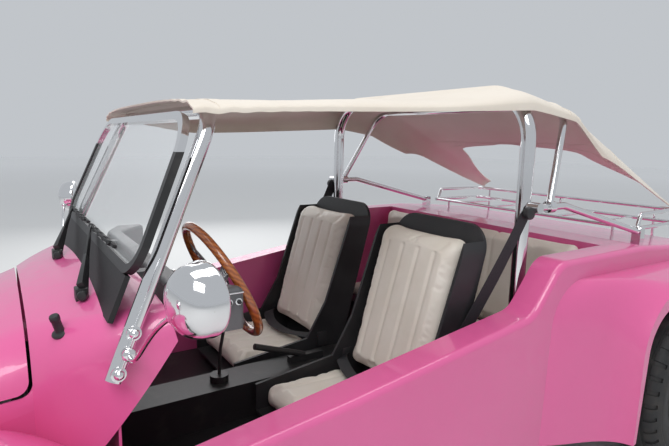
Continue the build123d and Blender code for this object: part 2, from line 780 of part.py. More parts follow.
def seat_front_view(inset):
    """Prism along the car with the rounded front view of both seats."""
    prisms = []
    for side in (1, -1):
        with BuildSketch(cross_plane(700.0)) as view:
            with Locations((side * seat_x, (seat_top_z + 200.0) / 2)):
                RectangleRounded(2 * (seat_half - inset), seat_top_z - 200.0 - 2 * inset, 95.0 - inset)
        prisms.append(extrude(view.sketch, amount=-1100.0, mode=Mode.PRIVATE))
    return prisms[0] + prisms[1]


with BuildPart() as seat_shells:
    for side in (1, -1):
        x = side * seat_x
        side_prism([(seat_front, seat_pan_z), (seat_front, seat_pan_z + 110), (seat_rear - 150, seat_pan_z + 150),
                    (seat_rear - 60, seat_pan_z + 300), (seat_top - 95, seat_top_z), (seat_top + 12, seat_top_z),
                    (seat_rear, seat_pan_z)], x - seat_half, x + seat_half)
        side_prism([(seat_front - 50, seat_pan_z + shell_wall), (seat_front - 50, 1200.0), (1000.0, 1200.0),
                    (seat_top - 8, seat_top_z + 60), (seat_top, seat_top_z),
                    (seat_rear - shell_wall, seat_pan_z + shell_wall)],
                   x - seat_half + shell_wall, x + seat_half - shell_wall, Mode.SUBTRACT)
    add(seat_front_view(0.0), mode=Mode.INTERSECT)
    for side in (1, -1):
        for x in (side * seat_x - 150, side * seat_x + 150):
            block((x - 14, seat_front + 40, hoop_foot_z + seat_gap), (x + 14, seat_rear - 60, seat_pan_z + 2))
save(seat_shells, "seat_shells")

pad_gap = shell_wall + seat_gap
with BuildPart() as seat_pads:
    for side in (1, -1):
        x = side * seat_x
        side_prism([(seat_front + 6, seat_pan_z + pad_gap), (seat_front + 6, seat_pan_z + 120),
                    (seat_front + 60, seat_pan_z + 140), (seat_rear - 130, seat_pan_z + 112),
                    (seat_rear + 46, seat_top_z - 20), (seat_top - 6, seat_top_z - pad_gap),
                    (seat_rear - shell_wall - seat_gap, seat_pan_z + pad_gap)],
                   x - seat_half + pad_gap, x + seat_half - pad_gap)
    add(seat_front_view(pad_gap), mode=Mode.INTERSECT)
save(seat_pads, "seat_pads")

# Rear bench: cushion and backrest
bench_half = 600.0
bench_back = seatback_station - 100.0
with BuildPart() as rear_bench:
    side_prism([(bench_station + 8, bench_z + seat_gap), (bench_station + 8, bench_z + 92),
                (bench_station + 40, bench_z + 108), (bench_back - 50, bench_z + 88),
                (bench_back + 10, haunch_z + 10), (bench_back + 40, haunch_z + 30),
                (seatback_station - 14, haunch_z + 26), (seatback_station - seat_gap, haunch_z - 20),
                (seatback_station - seat_gap, bench_z + seat_gap)], -bench_half, bench_half)
    fillet(rear_bench.faces().sort_by(Axis.X)[-1].edges().filter_by(
        lambda e: e.center().Z > bench_z + 60), 22.0)
    fillet(rear_bench.faces().sort_by(Axis.X)[0].edges().filter_by(
        lambda e: e.center().Z > bench_z + 60), 22.0)
save(rear_bench, "rear_bench")

# Bumpers with a towing eye below each
rear_tip = wheelbase + rear_overhang
eye_radius = 12.0
eye_thickness = 12.0
eye_drop = 52.0


def towing_eye(station, bar_z):
    """Pierced plate below the middle of a bumper bar."""
    block((-eye_thickness / 2, station - 24, bar_z - eye_drop - 24), (eye_thickness / 2, station + 24, bar_z - 10))
    disc(0, station, bar_z - eye_drop, (1, 0, 0), eye_radius, 4 * eye_thickness, Mode.SUBTRACT)


front_bar_z = 388.0
front_leg_x = 350.0
rear_bar_z = 420.0
rear_leg_x = 400.0
with BuildPart() as front_bumper:
    front_leg = beam_station - beam_radius - seat_gap
    sweep_bar([place(-front_leg_x, front_leg, front_bar_z),
               place(-front_leg_x, bumper_radius - front_overhang, front_bar_z),
               place(front_leg_x, bumper_radius - front_overhang, front_bar_z),
               place(front_leg_x, front_leg, front_bar_z)], 70.0, bumper_radius)
    towing_eye(bumper_radius - front_overhang, front_bar_z)
save(front_bumper, "front_bumper")
with BuildPart() as rear_bumper:
    sweep_bar([place(-rear_leg_x, wheelbase + 300.0, rear_bar_z),
               place(-rear_leg_x, rear_tip - bumper_radius, rear_bar_z),
               place(rear_leg_x, rear_tip - bumper_radius, rear_bar_z),
               place(rear_leg_x, wheelbase + 300.0, rear_bar_z)], 70.0, bumper_radius)
    for x in (-rear_leg_x, rear_leg_x):
        block((x - 10, tail_station - 40, rear_bar_z), (x + 10, tail_station + 6, tail_z + 50))
    add(tub_blank(-seat_gap), mode=Mode.SUBTRACT)
    towing_eye(rear_tip - bumper_radius, rear_bar_z)
save(rear_bumper, "rear_bumper")

# Headlamp bowls with lenses, and round tail lamps
lamp_x = 560.0
lamp_station = -300.0
lamp_z = 775.0
lamp_radius = 90.0
lens_radius = 80.0
with BuildPart() as headlamps:
    for side in (1, -1):
        disc(side * lamp_x, lamp_station - 40, lamp_z, (0, -1, 0), lamp_radius, 20.0)
        with BuildSketch(Plane(origin=place(side * lamp_x, lamp_station - 30, lamp_z), z_dir=(0, 1, 0))) as bowl:
            Circle(lamp_radius - 4)
        extrude(bowl.sketch, amount=90.0, taper=24)
        disc(side * lamp_x, lamp_station - 50, lamp_z, (0, -1, 0), lens_radius + seat_gap, 14.0, Mode.SUBTRACT)
        disc(side * lamp_x, lamp_station, lamp_z - 130, (0, 0, 1), 15.0, 160.0)
    add(both_sides(front_wing_blank(-seat_gap)), mode=Mode.SUBTRACT)
save(headlamps, "headlamps")
with BuildPart() as headlamp_lenses:
    for side in (1, -1):
        disc(side * lamp_x, lamp_station - 50 + seat_gap, lamp_z, (0, -1, 0), lens_radius, 13.0)
save(headlamp_lenses, "headlamp_lenses")
with BuildPart() as tail_lamps:
    for side in (1, -1):
        disc(side * 450.0, tail_station - 62, 700.0, (0, 1, 0.6), 45.0, 70.0)
    add(tub_blank(-seat_gap), mode=Mode.SUBTRACT)
save(tail_lamps, "tail_lamps")

# Front axle beam, trailing arms and kingpins
kingpin_radius = 9.0
with BuildPart() as front_beam:
    for z in (axle_z - arm_drop, upper_beam_z):
        disc(0, beam_station, z, (1, 0, 0), beam_radius, 920.0)
        for side in (1, -1):
            disc(side * 475.0, beam_station, z, (1, 0, 0), 24.0, 40.0)
            sweep_bar([place(side * 480.0, beam_station, z), place(side * kingpin_x, 0.0, z)], 0, 14.0)
            disc(side * kingpin_x, 0, z, (0, 0, 1), 20.0, 30.0)
    for side in (1, -1):
        disc(side * kingpin_x, 0, axle_z, (0, 0, 1), kingpin_radius, 2 * arm_drop + 30)
    for x in (-440.0, -150.0, 150.0, 440.0):
        block((x - 8, beam_station - 35, axle_z - 110), (x + 8, beam_station + 35, axle_z + 110))
save(front_beam, "front_beam")

# Steering knuckles with spindle, backing plate and arm
steer_arm = 110.0
steer_arm_z = axle_z - 30.0
pin_radius = 6.0
spindle_radius = 16.0
for name, side in (("knuckle_left", 1), ("knuckle_right", -1)):
    with BuildPart() as knuckle:
        disc(side * kingpin_x, 0, axle_z, (0, 0, 1), 22.0, 2 * arm_drop - 32)
        disc(side * (kingpin_x + 50 - seat_gap / 2), 0, axle_z, (1, 0, 0), spindle_radius, 100 - seat_gap)
        disc(side * (kingpin_x + 34), 0, axle_z, (1, 0, 0), 110.0, 24.0)
        block((side * kingpin_x - 11, 0.0, steer_arm_z - 8), (side * kingpin_x + 11, steer_arm, steer_arm_z + 8))
        disc(side * kingpin_x, steer_arm, steer_arm_z, (0, 0, 1), 14.0, 16.0)
        disc(side * kingpin_x, steer_arm, steer_arm_z + 16, (0, 0, 1), pin_radius, 32.0)
        disc(side * kingpin_x, 0, axle_z, (0, 0, 1), kingpin_radius + seat_gap, 300.0, Mode.SUBTRACT)
    save(knuckle, name)

# Track rod on the arms' pins, and the pitman arm that moves it
rod_z = steer_arm_z + 17.0
with BuildPart() as track_rod:
    disc(0, steer_arm, rod_z, (1, 0, 0), 7.0, 2 * kingpin_x - 20)
    for x in (-kingpin_x, kingpin_x, steer_x):
        disc(x, steer_arm, rod_z, (0, 0, 1), 15.0, 16.0)
        disc(x, steer_arm, rod_z, (0, 0, 1), pin_radius + seat_gap, 60.0, Mode.SUBTRACT)
save(track_rod, "track_rod")
with BuildPart() as pitman_arm:
    block((steer_x - 10, 0.0, rod_z + 9), (steer_x + 10, steer_arm, rod_z + 21))
    disc(steer_x, steer_arm, rod_z + 15, (0, 0, 1), 13.0, 12.0)
    disc(steer_x, steer_arm, rod_z + 4, (0, 0, 1), pin_radius, 24.0)
    disc(steer_x, 0, rod_z + 60, (0, 0, 1), 12.0, 102.0)
save(pitman_arm, "pitman_arm")


def wheel_plane(x, station, radius):
    """Upright plane through a wheel's axle; sketch x is the car's left."""
    return Plane(origin=place(x, station, radius), x_dir=(1, 0, 0), z_dir=(0, -1, 0))


def wheel_tyre(x, station, radius, width):
    """Tyre turned about the axle, with rounded shoulders."""
    half = width / 2
    with BuildPart() as tyre:
        with BuildSketch(wheel_plane(x, station, radius)) as cut:
            with BuildLine():
                Polyline((-half + 14, rim_radius), (half - 14, rim_radius), (half, radius - 55),
                         (half - 8, radius - 14), (half - 32, radius), (-half + 32, radius),
                         (-half + 8, radius - 14), (-half, radius - 55), close=True)
            make_face()
        revolve(cut.sketch, axis=Axis(place(x, station, radius), (1, 0, 0)), revolution_arc=360)
    return tyre


slot_ring = 120.0


def wheel_rim(x, station, radius, width, side, face_x):
    """Steel rim with its slotted disc and hub."""
    half = width / 2 - 14
    inner = rim_radius - seat_gap
    with BuildPart() as rim:
        with BuildSketch(wheel_plane(x, station, radius)) as cut:
            with BuildLine():
                Polyline((-half, inner), (half, inner), (half, inner - 12), (-half, inner - 12), close=True)
            make_face()
        revolve(cut.sketch, axis=Axis(place(x, station, radius), (1, 0, 0)), revolution_arc=360)
        disc(side * face_x, station, radius, (1, 0, 0), inner - 4, 8.0)
        with BuildSketch(Plane(origin=place(side * face_x - 20, station, radius), z_dir=(1, 0, 0))) as slots:
            with PolarLocations(slot_ring, 8):
                SlotOverall(44.0, 22.0, rotation=90)
        extrude(slots.sketch, amount=40.0, mode=Mode.SUBTRACT)
        disc(side * (face_x + 8), station, radius, (1, 0, 0), 45.0, 40.0)
        disc(side * (face_x - 10), station, radius, (1, 0, 0), spindle_radius + seat_gap, 60.0, Mode.SUBTRACT)
    return rim


rear_face_x = 740.0
wheel_rows = [
    ("front_left", 1, 0.0, front_tyre_x, front_tyre_radius, front_tyre_width, 680.0),
    ("front_right", -1, 0.0, front_tyre_x, front_tyre_radius, front_tyre_width, 680.0),
    ("rear_left", 1, wheelbase, rear_tyre_x, rear_tyre_radius, rear_tyre_width, rear_face_x),
    ("rear_right", -1, wheelbase, rear_tyre_x, rear_tyre_radius, rear_tyre_width, rear_face_x),
]
for name, side, station, x, radius, width, face_x in wheel_rows:
    save(wheel_tyre(side * x, station, radius, width), "tyre_" + name)
    save(wheel_rim(side * x, station, radius, width, side, face_x), "rim_" + name)

# Rear axle, gearbox and engine
box_half = 110.0
with BuildPart() as rear_axle:
    for side in (1, -1):
        disc(side * (box_half + 275), wheelbase, rear_tyre_radius, (1, 0, 0), 32.0, 550.0)
        disc(side * 690, wheelbase, rear_tyre_radius, (1, 0, 0), spindle_radius, 110.0)
        disc(side * 672, wheelbase, rear_tyre_radius, (1, 0, 0), 120.0, 40.0)
        sweep_bar([place(side * (torsion_half - 20), torsion_station + torsion_radius + 10, torsion_z),
                   place(side * 600.0, wheelbase, rear_tyre_radius)], 0, 22.0)
save(rear_axle, "rear_axle")

engine_front = wheelbase + 50.0
engine_rear = engine_front + 330.0
crank_z = 360.0
cylinder_rows = [(engine_front + 90.0, 5), (engine_front + 210.0, 5)]
with BuildPart() as engine:
    block((-150.0, engine_front, crank_z - 100), (150.0, engine_rear, crank_z + 90))
    block((-190.0, engine_front + 20, crank_z - 112), (190.0, engine_rear - 40, crank_z - 60))
    block((-box_half, torsion_station + torsion_radius + seat_gap, 262.0), (box_half, engine_front, 372.0))
    disc(0, wheelbase, rear_tyre_radius - 20, (0, 1, 0), 105.0, 90.0)
    for side in (1, -1):
        for station, fins in cylinder_rows:
            disc(side * 215.0, station, crank_z, (1, 0, 0), 44.0, 160.0)
            for fin in range(fins):
                disc(side * (170.0 + 26 * fin), station, crank_z, (1, 0, 0), 56.0, 10.0)
        block((side * 325.0 - 35, engine_front + 30, crank_z - 62),
              (side * 325.0 + 35, engine_front + 270, crank_z + 62))
    disc(0, engine_rear + 26, crank_z, (0, 1, 0), 88.0, 20.0)
    disc(0, engine_rear + 8, crank_z, (0, 1, 0), 30.0, 24.0)
save(engine, "engine")

shroud_top = crank_z + 400.0
fan_z = crank_z + 250.0
with BuildPart() as engine_shroud:
    block((-300.0, engine_front + 60, crank_z + 90 + seat_gap), (300.0, engine_front + 160, crank_z + 250))
    disc(0, engine_front + 110, fan_z, (0, 1, 0), 150.0, 100.0)
    disc(0, engine_front + 215, fan_z, (0, 1, 0), 62.0, 110.0)
    disc(0, engine_rear + 10, fan_z, (0, 1, 0), 52.0, 18.0)
    disc(0, engine_rear - 30, fan_z, (0, 1, 0), 14.0, 70.0)
save(engine_shroud, "engine_shroud")

exhaust_station = engine_rear + 100.0
with BuildPart() as exhaust:
    disc(0, exhaust_station, crank_z - 50, (1, 0, 0), 55.0, 520.0)
    for side in (1, -1):
        block((side * 325.0 - 16, engine_front + 270 + seat_gap, crank_z - 66),
              (side * 325.0 + 16, exhaust_station + 14, crank_z - 34))
        block((side * 255.0 - 90, exhaust_station - 18, crank_z - 66),
              (side * 255.0 + 80, exhaust_station + 14, crank_z - 34))
        disc(side * 120.0, exhaust_station + 90, crank_z - 60, (0, 1, 0), 20.0, 140.0)
        disc(side * 120.0, exhaust_station + 120, crank_z - 60, (0, 1, 0), 16.0, 120.0, Mode.SUBTRACT)
save(exhaust, "exhaust")
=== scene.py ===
# %% [markdown]
# # Dressing a beach buggy
# The car is a glass-fibre tub on a rear-engined platform, with a canvas canopy, chrome tubes and
# cream seats. Its rigid pieces come in from the frame at their real size. This lesson gives each
# one a finish and adds what a solid can't hold: cloth, cushions, tread, lamps and small fittings.

# %% Loading the frame
import json
import math

import bpy
from mathutils import Matrix, Vector


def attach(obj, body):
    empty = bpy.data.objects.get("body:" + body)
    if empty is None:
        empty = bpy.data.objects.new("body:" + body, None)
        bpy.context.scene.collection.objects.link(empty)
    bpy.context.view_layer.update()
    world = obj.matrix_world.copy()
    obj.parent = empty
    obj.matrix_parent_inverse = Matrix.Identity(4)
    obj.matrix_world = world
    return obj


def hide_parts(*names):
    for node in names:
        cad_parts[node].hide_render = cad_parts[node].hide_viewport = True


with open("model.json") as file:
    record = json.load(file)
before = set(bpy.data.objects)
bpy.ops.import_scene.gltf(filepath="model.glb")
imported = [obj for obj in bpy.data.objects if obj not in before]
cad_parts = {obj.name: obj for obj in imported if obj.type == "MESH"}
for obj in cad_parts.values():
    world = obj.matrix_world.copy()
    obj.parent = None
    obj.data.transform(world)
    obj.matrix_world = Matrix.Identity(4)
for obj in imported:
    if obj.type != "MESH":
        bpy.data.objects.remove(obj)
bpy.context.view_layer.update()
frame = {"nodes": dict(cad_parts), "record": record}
nodes = frame["nodes"]
front_axle_y = -1.24
wheelbase = 2.40
print("nodes in the frame:", len(nodes))


def at(station):
    """Y of a station measured behind the front axle."""
    return front_axle_y + station


# %% [markdown]
# ## The camera
# The camera stands beside the front wheel and looks across the cockpit. It is built from the place,
# the turn, the tilt and the lens that make the drawn posts and ledges fall on the ones in the picture.

# %% Camera
camera_place = (1.730, -1.076, 1.2555)
camera_turn = math.radians(56.86)
camera_tilt = math.radians(-9.17)
camera_roll = math.radians(1.19)
picture_width = 669
focal_pixels = 518.86


def add_camera():
    """Put the camera at its place, with its turn, tilt, roll and lens."""
    bpy.ops.object.camera_add(location=(0, 0, 0))
    camera = bpy.context.object
    camera.name = "photo_camera"
    camera.data.sensor_width = 36.0
    camera.data.lens = camera.data.sensor_width * focal_pixels / picture_width
    camera.data.clip_start = 0.05
    turn = Matrix.Rotation(camera_turn, 4, "Z")
    tilt = Matrix.Rotation(math.radians(90) + camera_tilt, 4, "X")
    roll = Matrix.Rotation(camera_roll, 4, "Z")
    camera.matrix_world = Matrix.Translation(camera_place) @ turn @ tilt @ roll
    bpy.context.scene.camera = camera
    return camera


photo_camera = add_camera()
print("lens in mm:", round(photo_camera.data.lens, 2))

# %% [markdown]
# ## Shader maths
# A finish is easier to read as a sum than as a web of nodes. `Wire` wraps one socket, so that
# `1 - mask * 0.3` adds the Math nodes by itself. Every other node comes from `Finish.node`, which
# takes the node's type, its settings and what goes into its sockets.

# %% Wires and finishes


class Wire:
    """One output socket, or a link from one, that can be added and multiplied."""

    def __init__(self, finish, socket):
        self.finish = finish
        self.socket = socket

    def maths(self, operation, first, second):
        return self.finish.node("ShaderNodeMath", {"operation": operation}, {0: first, 1: second})

    def __add__(self, other):
        return self.maths("ADD", self, other)

    def __mul__(self, other):
        return self.maths("MULTIPLY", self, other)

    def __rsub__(self, other):
        return self.maths("SUBTRACT", other, self)

    def __truediv__(self, other):
        return self.maths("DIVIDE", self, other)

    __radd__ = __add__
    __rmul__ = __mul__


class Finish:
    """A material under construction, with one Principled surface."""

    def __init__(self, name):
        self.material = bpy.data.materials.new(name)
        self.material.use_nodes = True
        self.tree = self.material.node_tree
        self.surface = self.tree.nodes["Principled BSDF"]

    def put(self, socket, value):
        """Link a wire to a socket, or set the socket's own value."""
        if isinstance(value, Wire):
            self.tree.links.new(value.socket, socket)
        elif hasattr(value, "__len__") and len(value) == 3 and len(socket.default_value) == 4:
            socket.default_value = (*value, 1.0)
        else:
            socket.default_value = value

    def node(self, kind, settings=None, sockets=None, output=0):
        """Add a node and return a wire from one of its outputs."""
        made = self.tree.nodes.new(kind)
        for name, value in (settings or {}).items():
            if name == "stops":
                self.stops(made.color_ramp, value)
            else:
                setattr(made, name, value)
        for key, value in (sockets or {}).items():
            self.put(made.inputs[key], value)
        return Wire(self, made.outputs[output])

    @staticmethod
    def stops(ramp, stops):
        """Set a ramp's stops from pairs of place and grey level."""
        while len(ramp.elements) < len(stops):
            ramp.elements.new(1.0)
        for element, (place, level) in zip(ramp.elements, stops):
            element.position = place
            element.color = (level, level, level, 1.0)

    def place(self, scale=(1.0, 1.0, 1.0), turn=(0.0, 0.0, 0.0)):
        """Object coordinates, in metres, turned and scaled."""
        coords = self.node("ShaderNodeTexCoord", output="Object")
        return self.node("ShaderNodeMapping", {}, {"Vector": coords, "Scale": scale, "Rotation": turn})

    def noise(self, scale, detail=3.0, vector=None):
        """Cloudy noise from 0 to 1 at a scale in waves per metre."""
        vector = vector or self.place()
        return self.node("ShaderNodeTexNoise", {}, {"Vector": vector, "Scale": scale, "Detail": detail})

    def ramp(self, value, *stops):
        """A value passed through pairs of place and level."""
        return self.node("ShaderNodeValToRGB", {"stops": stops}, {"Fac": value})

    def blend(self, mask, low, high):
        """A colour that goes from low to high with the mask."""
        return self.node("ShaderNodeMix", {"data_type": "RGBA"}, {0: mask, 6: low, 7: high}, output=2)

    def bump(self, height, depth, strength=1.0):
        """Link a height to the surface's normal, its depth in metres."""
        normal = self.node(
            "ShaderNodeBump", {}, {"Height": height, "Distance": depth, "Strength": strength})
        self.put(self.surface.inputs["Normal"], normal)

    def set(self, **values):
        """Set the surface's sockets: Base_Color=..., Roughness=..."""
        for name, value in values.items():
            self.put(self.surface.inputs[name.replace("_", " ")], value)
        return self.material


# %% [markdown]
# ## Painted and moulded finishes
# The pink shell is a gelcoat: the colour is in the plastic and the gloss is a clear top layer. It
# has very slight waves from its mould and fine dust that dulls the gloss in patches, so the
# roughness changes over the surface and the coat does the shining.

# %% Gelcoat


def gelcoat():
    """Glossy pink gelcoat."""
    finish = Finish("pink gelcoat")
    clouds = finish.noise(2.2, 4.0)
    dust = finish.ramp(finish.noise(38.0, 6.0), (0.42, 0.0), (0.78, 1.0))
    colour = finish.blend(clouds, (0.70, 0.105, 0.300), (0.76, 0.125, 0.340))
    finish.bump(finish.noise(3.5, 1.0), 0.0012)
    return finish.set(
        Base_Color=colour, Roughness=0.30 + dust * 0.12, Coat_Weight=0.9 - dust * 0.25,
        Coat_Roughness=0.04)


# %% Chrome and painted metal


def chrome():
    """Polished chrome with faint wiping marks."""
    finish = Finish("chrome")
    marks = finish.noise(1.0, 3.0, finish.place(scale=(60.0, 60.0, 14.0)))
    spots = finish.ramp(finish.noise(240.0, 2.0), (0.70, 0.0), (0.80, 1.0))
    return finish.set(
        Base_Color=finish.blend(spots, (0.78, 0.78, 0.79), (0.60, 0.58, 0.55)), Metallic=1.0,
        Roughness=0.05 + marks * 0.06 + spots * 0.2)


def black_paint(name, level, roughness):
    """Satin black paint over metal, a little uneven."""
    finish = Finish(name)
    grain = finish.noise(180.0, 4.0)
    wear = finish.ramp(finish.noise(14.0, 5.0), (0.55, 0.0), (0.75, 1.0))
    finish.bump(grain, 0.0002, 0.6)
    return finish.set(
        Base_Color=finish.blend(wear, (level, level, level * 1.05), (level * 2.2, level * 2.1, level * 2.0)),
        Roughness=roughness + grain * 0.12)


def cast_metal():
    """Cast alloy or iron with a fine grain."""
    finish = Finish("cast metal")
    grain = finish.noise(320.0, 5.0)
    finish.bump(grain, 0.0004, 0.7)
    stain = finish.ramp(finish.noise(9.0, 4.0), (0.4, 0.0), (0.7, 1.0))
    return finish.set(
        Base_Color=finish.blend(stain, (0.46, 0.46, 0.47), (0.30, 0.29, 0.27)), Metallic=0.9,
        Roughness=0.36 + grain * 0.2)


# %% Rubber, glass and lenses


def tyre_rubber():
    """Dusty tyre rubber."""
    finish = Finish("tyre rubber")
    dust = finish.ramp(finish.noise(22.0, 6.0), (0.45, 0.0), (0.75, 1.0))
    grain = finish.noise(420.0, 3.0)
    finish.bump(grain, 0.0004, 0.6)
    return finish.set(
        Base_Color=finish.blend(dust, (0.018, 0.018, 0.019), (0.050, 0.046, 0.042)),
        Roughness=0.62 + dust * 0.25)


def black_rubber():
    """Soft black rubber for seals and strips."""
    finish = Finish("black rubber")
    grain = finish.noise(300.0, 3.0)
    finish.bump(grain, 0.0002, 0.5)
    return finish.set(Base_Color=(0.014, 0.014, 0.015), Roughness=0.48 + grain * 0.15)


def clear_glass(name, colour, alpha, roughness):
    """Glass that shows what is behind it and still shines."""
    finish = Finish(name)
    smear = finish.ramp(finish.noise(6.0, 4.0), (0.45, 0.0), (0.8, 1.0))
    finish.material.surface_render_method = "BLENDED"
    return finish.set(
        Base_Color=colour, Roughness=roughness + smear * 0.03, Alpha=alpha + smear * 0.04,
        Specular_IOR_Level=0.7)


# %% Cloth, vinyl and wood


def vinyl(name, low, high):
    """Upholstery vinyl with a fine leather grain."""
    finish = Finish(name)
    cells = finish.node("ShaderNodeTexVoronoi", {"feature": "F1"}, {"Vector": finish.place(), "Scale": 620.0})
    soil = finish.ramp(finish.noise(8.0, 5.0), (0.40, 0.0), (0.80, 1.0))
    finish.bump(cells, 0.0004, 0.5)
    return finish.set(
        Base_Color=finish.blend(soil, low, high), Roughness=0.42 + soil * 0.16)


def canvas():
    """Cream canvas with a plain weave."""
    finish = Finish("cream canvas")
    threads = {"Vector": finish.place(), "Scale": 260.0, "Distortion": 0.6}
    across, along = (
        finish.node("ShaderNodeTexWave", {"bands_direction": direction}, threads) for direction in "XY")
    weave = across * along
    fade = finish.ramp(finish.noise(3.0, 6.0), (0.35, 0.0), (0.75, 1.0))
    finish.bump(weave, 0.0005, 0.35)
    return finish.set(
        Base_Color=finish.blend(fade, (0.76, 0.69, 0.60), (0.69, 0.61, 0.51)),
        Roughness=0.86, Sheen_Weight=0.25)


def webbing():
    """Black seat-belt webbing with its diagonal weave."""
    finish = Finish("belt webbing")
    weave = finish.node(
        "ShaderNodeTexWave", {"bands_direction": "DIAGONAL"},
        {"Vector": finish.place(), "Scale": 320.0, "Distortion": 0.3})
    finish.bump(weave, 0.0004, 0.6)
    return finish.set(
        Base_Color=finish.blend(weave, (0.012, 0.012, 0.014), (0.035, 0.035, 0.040)), Roughness=0.62)


def varnished_wood():
    """Amber mahogany under thick varnish."""
    finish = Finish("varnished wood")
    rings = finish.node(
        "ShaderNodeTexWave", {"wave_type": "BANDS", "bands_direction": "Z"},
        {"Vector": finish.place(turn=(0.5, 0.2, 0.0)), "Scale": 26.0, "Distortion": 7.0, "Detail": 3.0})
    return finish.set(
        Base_Color=finish.blend(rings, (0.26, 0.060, 0.012), (0.46, 0.135, 0.025)),
        Roughness=0.28 + rings * 0.1, Coat_Weight=1.0, Coat_Roughness=0.04)


# %% [markdown]
# ## Which finish goes where
# A node keeps its shape and gets a finish by its material slot. A table pairs each record slot
# with one finish, so that new nodes are covered without more code.

# %% Giving the nodes their finishes
finishes = {
    "pink_grp": gelcoat(),
    "canvas": canvas(),
    "chrome": chrome(),
    "black_metal": black_paint("satin black paint", 0.018, 0.36),
    "dark_metal": black_paint("dark chassis paint", 0.045, 0.48),
    "alloy": cast_metal(),
    "tyre_rubber": tyre_rubber(),
    "rubber": black_rubber(),
    "glass": clear_glass("windscreen glass", (0.85, 0.90, 0.90), 0.16, 0.02),
    "lamp_glass": clear_glass("lamp glass", (0.90, 0.92, 0.92), 0.35, 0.04),
    "red_lens": clear_glass("red lens", (0.50, 0.012, 0.010), 0.85, 0.08),
    "cream_vinyl": vinyl("cream vinyl", (0.84, 0.79, 0.70), (0.77, 0.71, 0.61)),
    "black_shell": vinyl("black vinyl", (0.020, 0.020, 0.022), (0.036, 0.036, 0.038)),
    "wood_rim": varnished_wood(),
    "dash_grey": vinyl("grey vinyl", (0.10, 0.10, 0.105), (0.14, 0.14, 0.14)),
    "webbing": webbing(),
}
for part in frame["record"]["subparts"]:
    for material_slot in nodes[part["node"]].material_slots:
        material_slot.material = finishes[part["material_slot"]]
print("finishes:", len(finishes))

# %% [markdown]
# ## Working by hand
# Every new piece starts as a primitive, is pushed about in edit mode and ends with its place in its
# mesh. An operator works on all that is selected, so each helper first clears the selection.

# %% Helpers for new pieces
car_sides = ((1, "left"), (-1, "right"))


def mode(name):
    """Go to EDIT or OBJECT mode."""
    bpy.ops.object.mode_set(mode=name)


def clear():
    """Leave edit mode and select nothing."""
    if bpy.context.object and bpy.context.object.mode != "OBJECT":
        mode("OBJECT")
    bpy.ops.object.select_all(action="DESELECT")


def pick(piece):
    """Make one piece the only selected and active one."""
    clear()
    piece.select_set(True)
    bpy.context.view_layer.objects.active = piece


def settle(piece):
    """Write the piece's place and turn into its mesh."""
    pick(piece)
    bpy.ops.object.transform_apply(location=True, rotation=True, scale=True)


def modify(piece, kind, **settings):
    """Add a modifier with its settings and apply it."""
    pick(piece)
    modifier = piece.modifiers.new(kind.lower(), kind)
    for name, value in settings.items():
        setattr(modifier, name, value)
    bpy.ops.object.modifier_apply(modifier=modifier.name)


def register(piece, name, slot, body="chassis", smooth=35.0):
    """Name a piece, give it a finish and let it ride on a body."""
    pick(piece)
    bpy.ops.object.shade_smooth_by_angle(angle=math.radians(smooth))
    piece.name = name
    piece.data.materials.clear()
    piece.data.materials.append(finishes[slot])
    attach(piece, body)
    print(name, "faces:", len(piece.data.polygons))
    return piece


def face_outwards(piece):
    """Turn every face of a closed piece to the outside."""
    pick(piece)
    mode("EDIT")
    bpy.ops.mesh.select_all(action="SELECT")
    bpy.ops.mesh.normals_make_consistent(inside=False)
    bpy.ops.mesh.select_all(action="DESELECT")
    mode("OBJECT")


def join(pieces):
    """Join pieces into the first one."""
    clear()
    for piece in pieces:
        piece.select_set(True)
    bpy.context.view_layer.objects.active = pieces[0]
    bpy.ops.object.join()
    return pieces[0]


def lathe(profile, place, axis=(0, 0, 1), sides=40):
    """A turned form: a disc extruded and scaled through pairs of radius and height."""
    clear()
    radius, height = profile[0]
    bpy.ops.mesh.primitive_circle_add(vertices=sides, radius=radius, fill_type="NGON", location=(0, 0, 0))
    piece = bpy.context.object
    mode("EDIT")
    bpy.ops.mesh.select_all(action="SELECT")
    bpy.ops.transform.translate(value=(0, 0, height))
    for wider, higher in profile[1:]:
        bpy.ops.mesh.extrude_region_move(TRANSFORM_OT_translate={"value": (0, 0, higher - height)})
        bpy.ops.transform.resize(value=(wider / radius, wider / radius, 1), center_override=(0, 0, higher))
        radius, height = wider, higher
    face_outwards(piece)
    piece.rotation_euler = Vector(axis).to_track_quat("Z", "Y").to_euler()
    piece.location = place
    settle(piece)
    return piece


def rod(start, end, radius, sides=20, bevel=0.0):
    """A round bar between two points."""
    start, end = Vector(start), Vector(end)
    length = (end - start).length
    profile = [(radius, 0.0), (radius, length)]
    if bevel:
        profile = [(radius - bevel, 0.0), (radius, bevel), (radius, length - bevel), (radius - bevel, length)]
    return lathe(profile, start, end - start, sides)


def brick(low, high, bevel=0.002):
    """A block between two corners with rounded edges."""
    clear()
    middle = [(a + b) / 2 for a, b in zip(low, high)]
    bpy.ops.mesh.primitive_cube_add(size=1.0, location=middle)
    piece = bpy.context.object
    piece.scale = [b - a for a, b in zip(low, high)]
    settle(piece)
    if bevel:
        modify(piece, "BEVEL", width=bevel, segments=2)
    return piece


def mirrored(piece):
    """A copy of a piece on the other side of the car."""
    pick(piece)
    bpy.ops.object.duplicate()
    copy = bpy.context.object
    copy.scale = (-1, 1, 1)
    settle(copy)
    face_outwards(copy)
    return copy


def press(piece, places, depth, width, reach=None):
    """Press sewn channels into a pad at places across the car, where reach allows it."""
    normals = [vertex.normal.copy() for vertex in piece.data.vertices]
    for vertex, normal in zip(piece.data.vertices, normals):
        if reach and not reach(vertex.co):
            continue
        for place in places:
            away = (vertex.co.x - place) / width
            vertex.co -= normal * depth * math.exp(-away * away)
    piece.data.update()


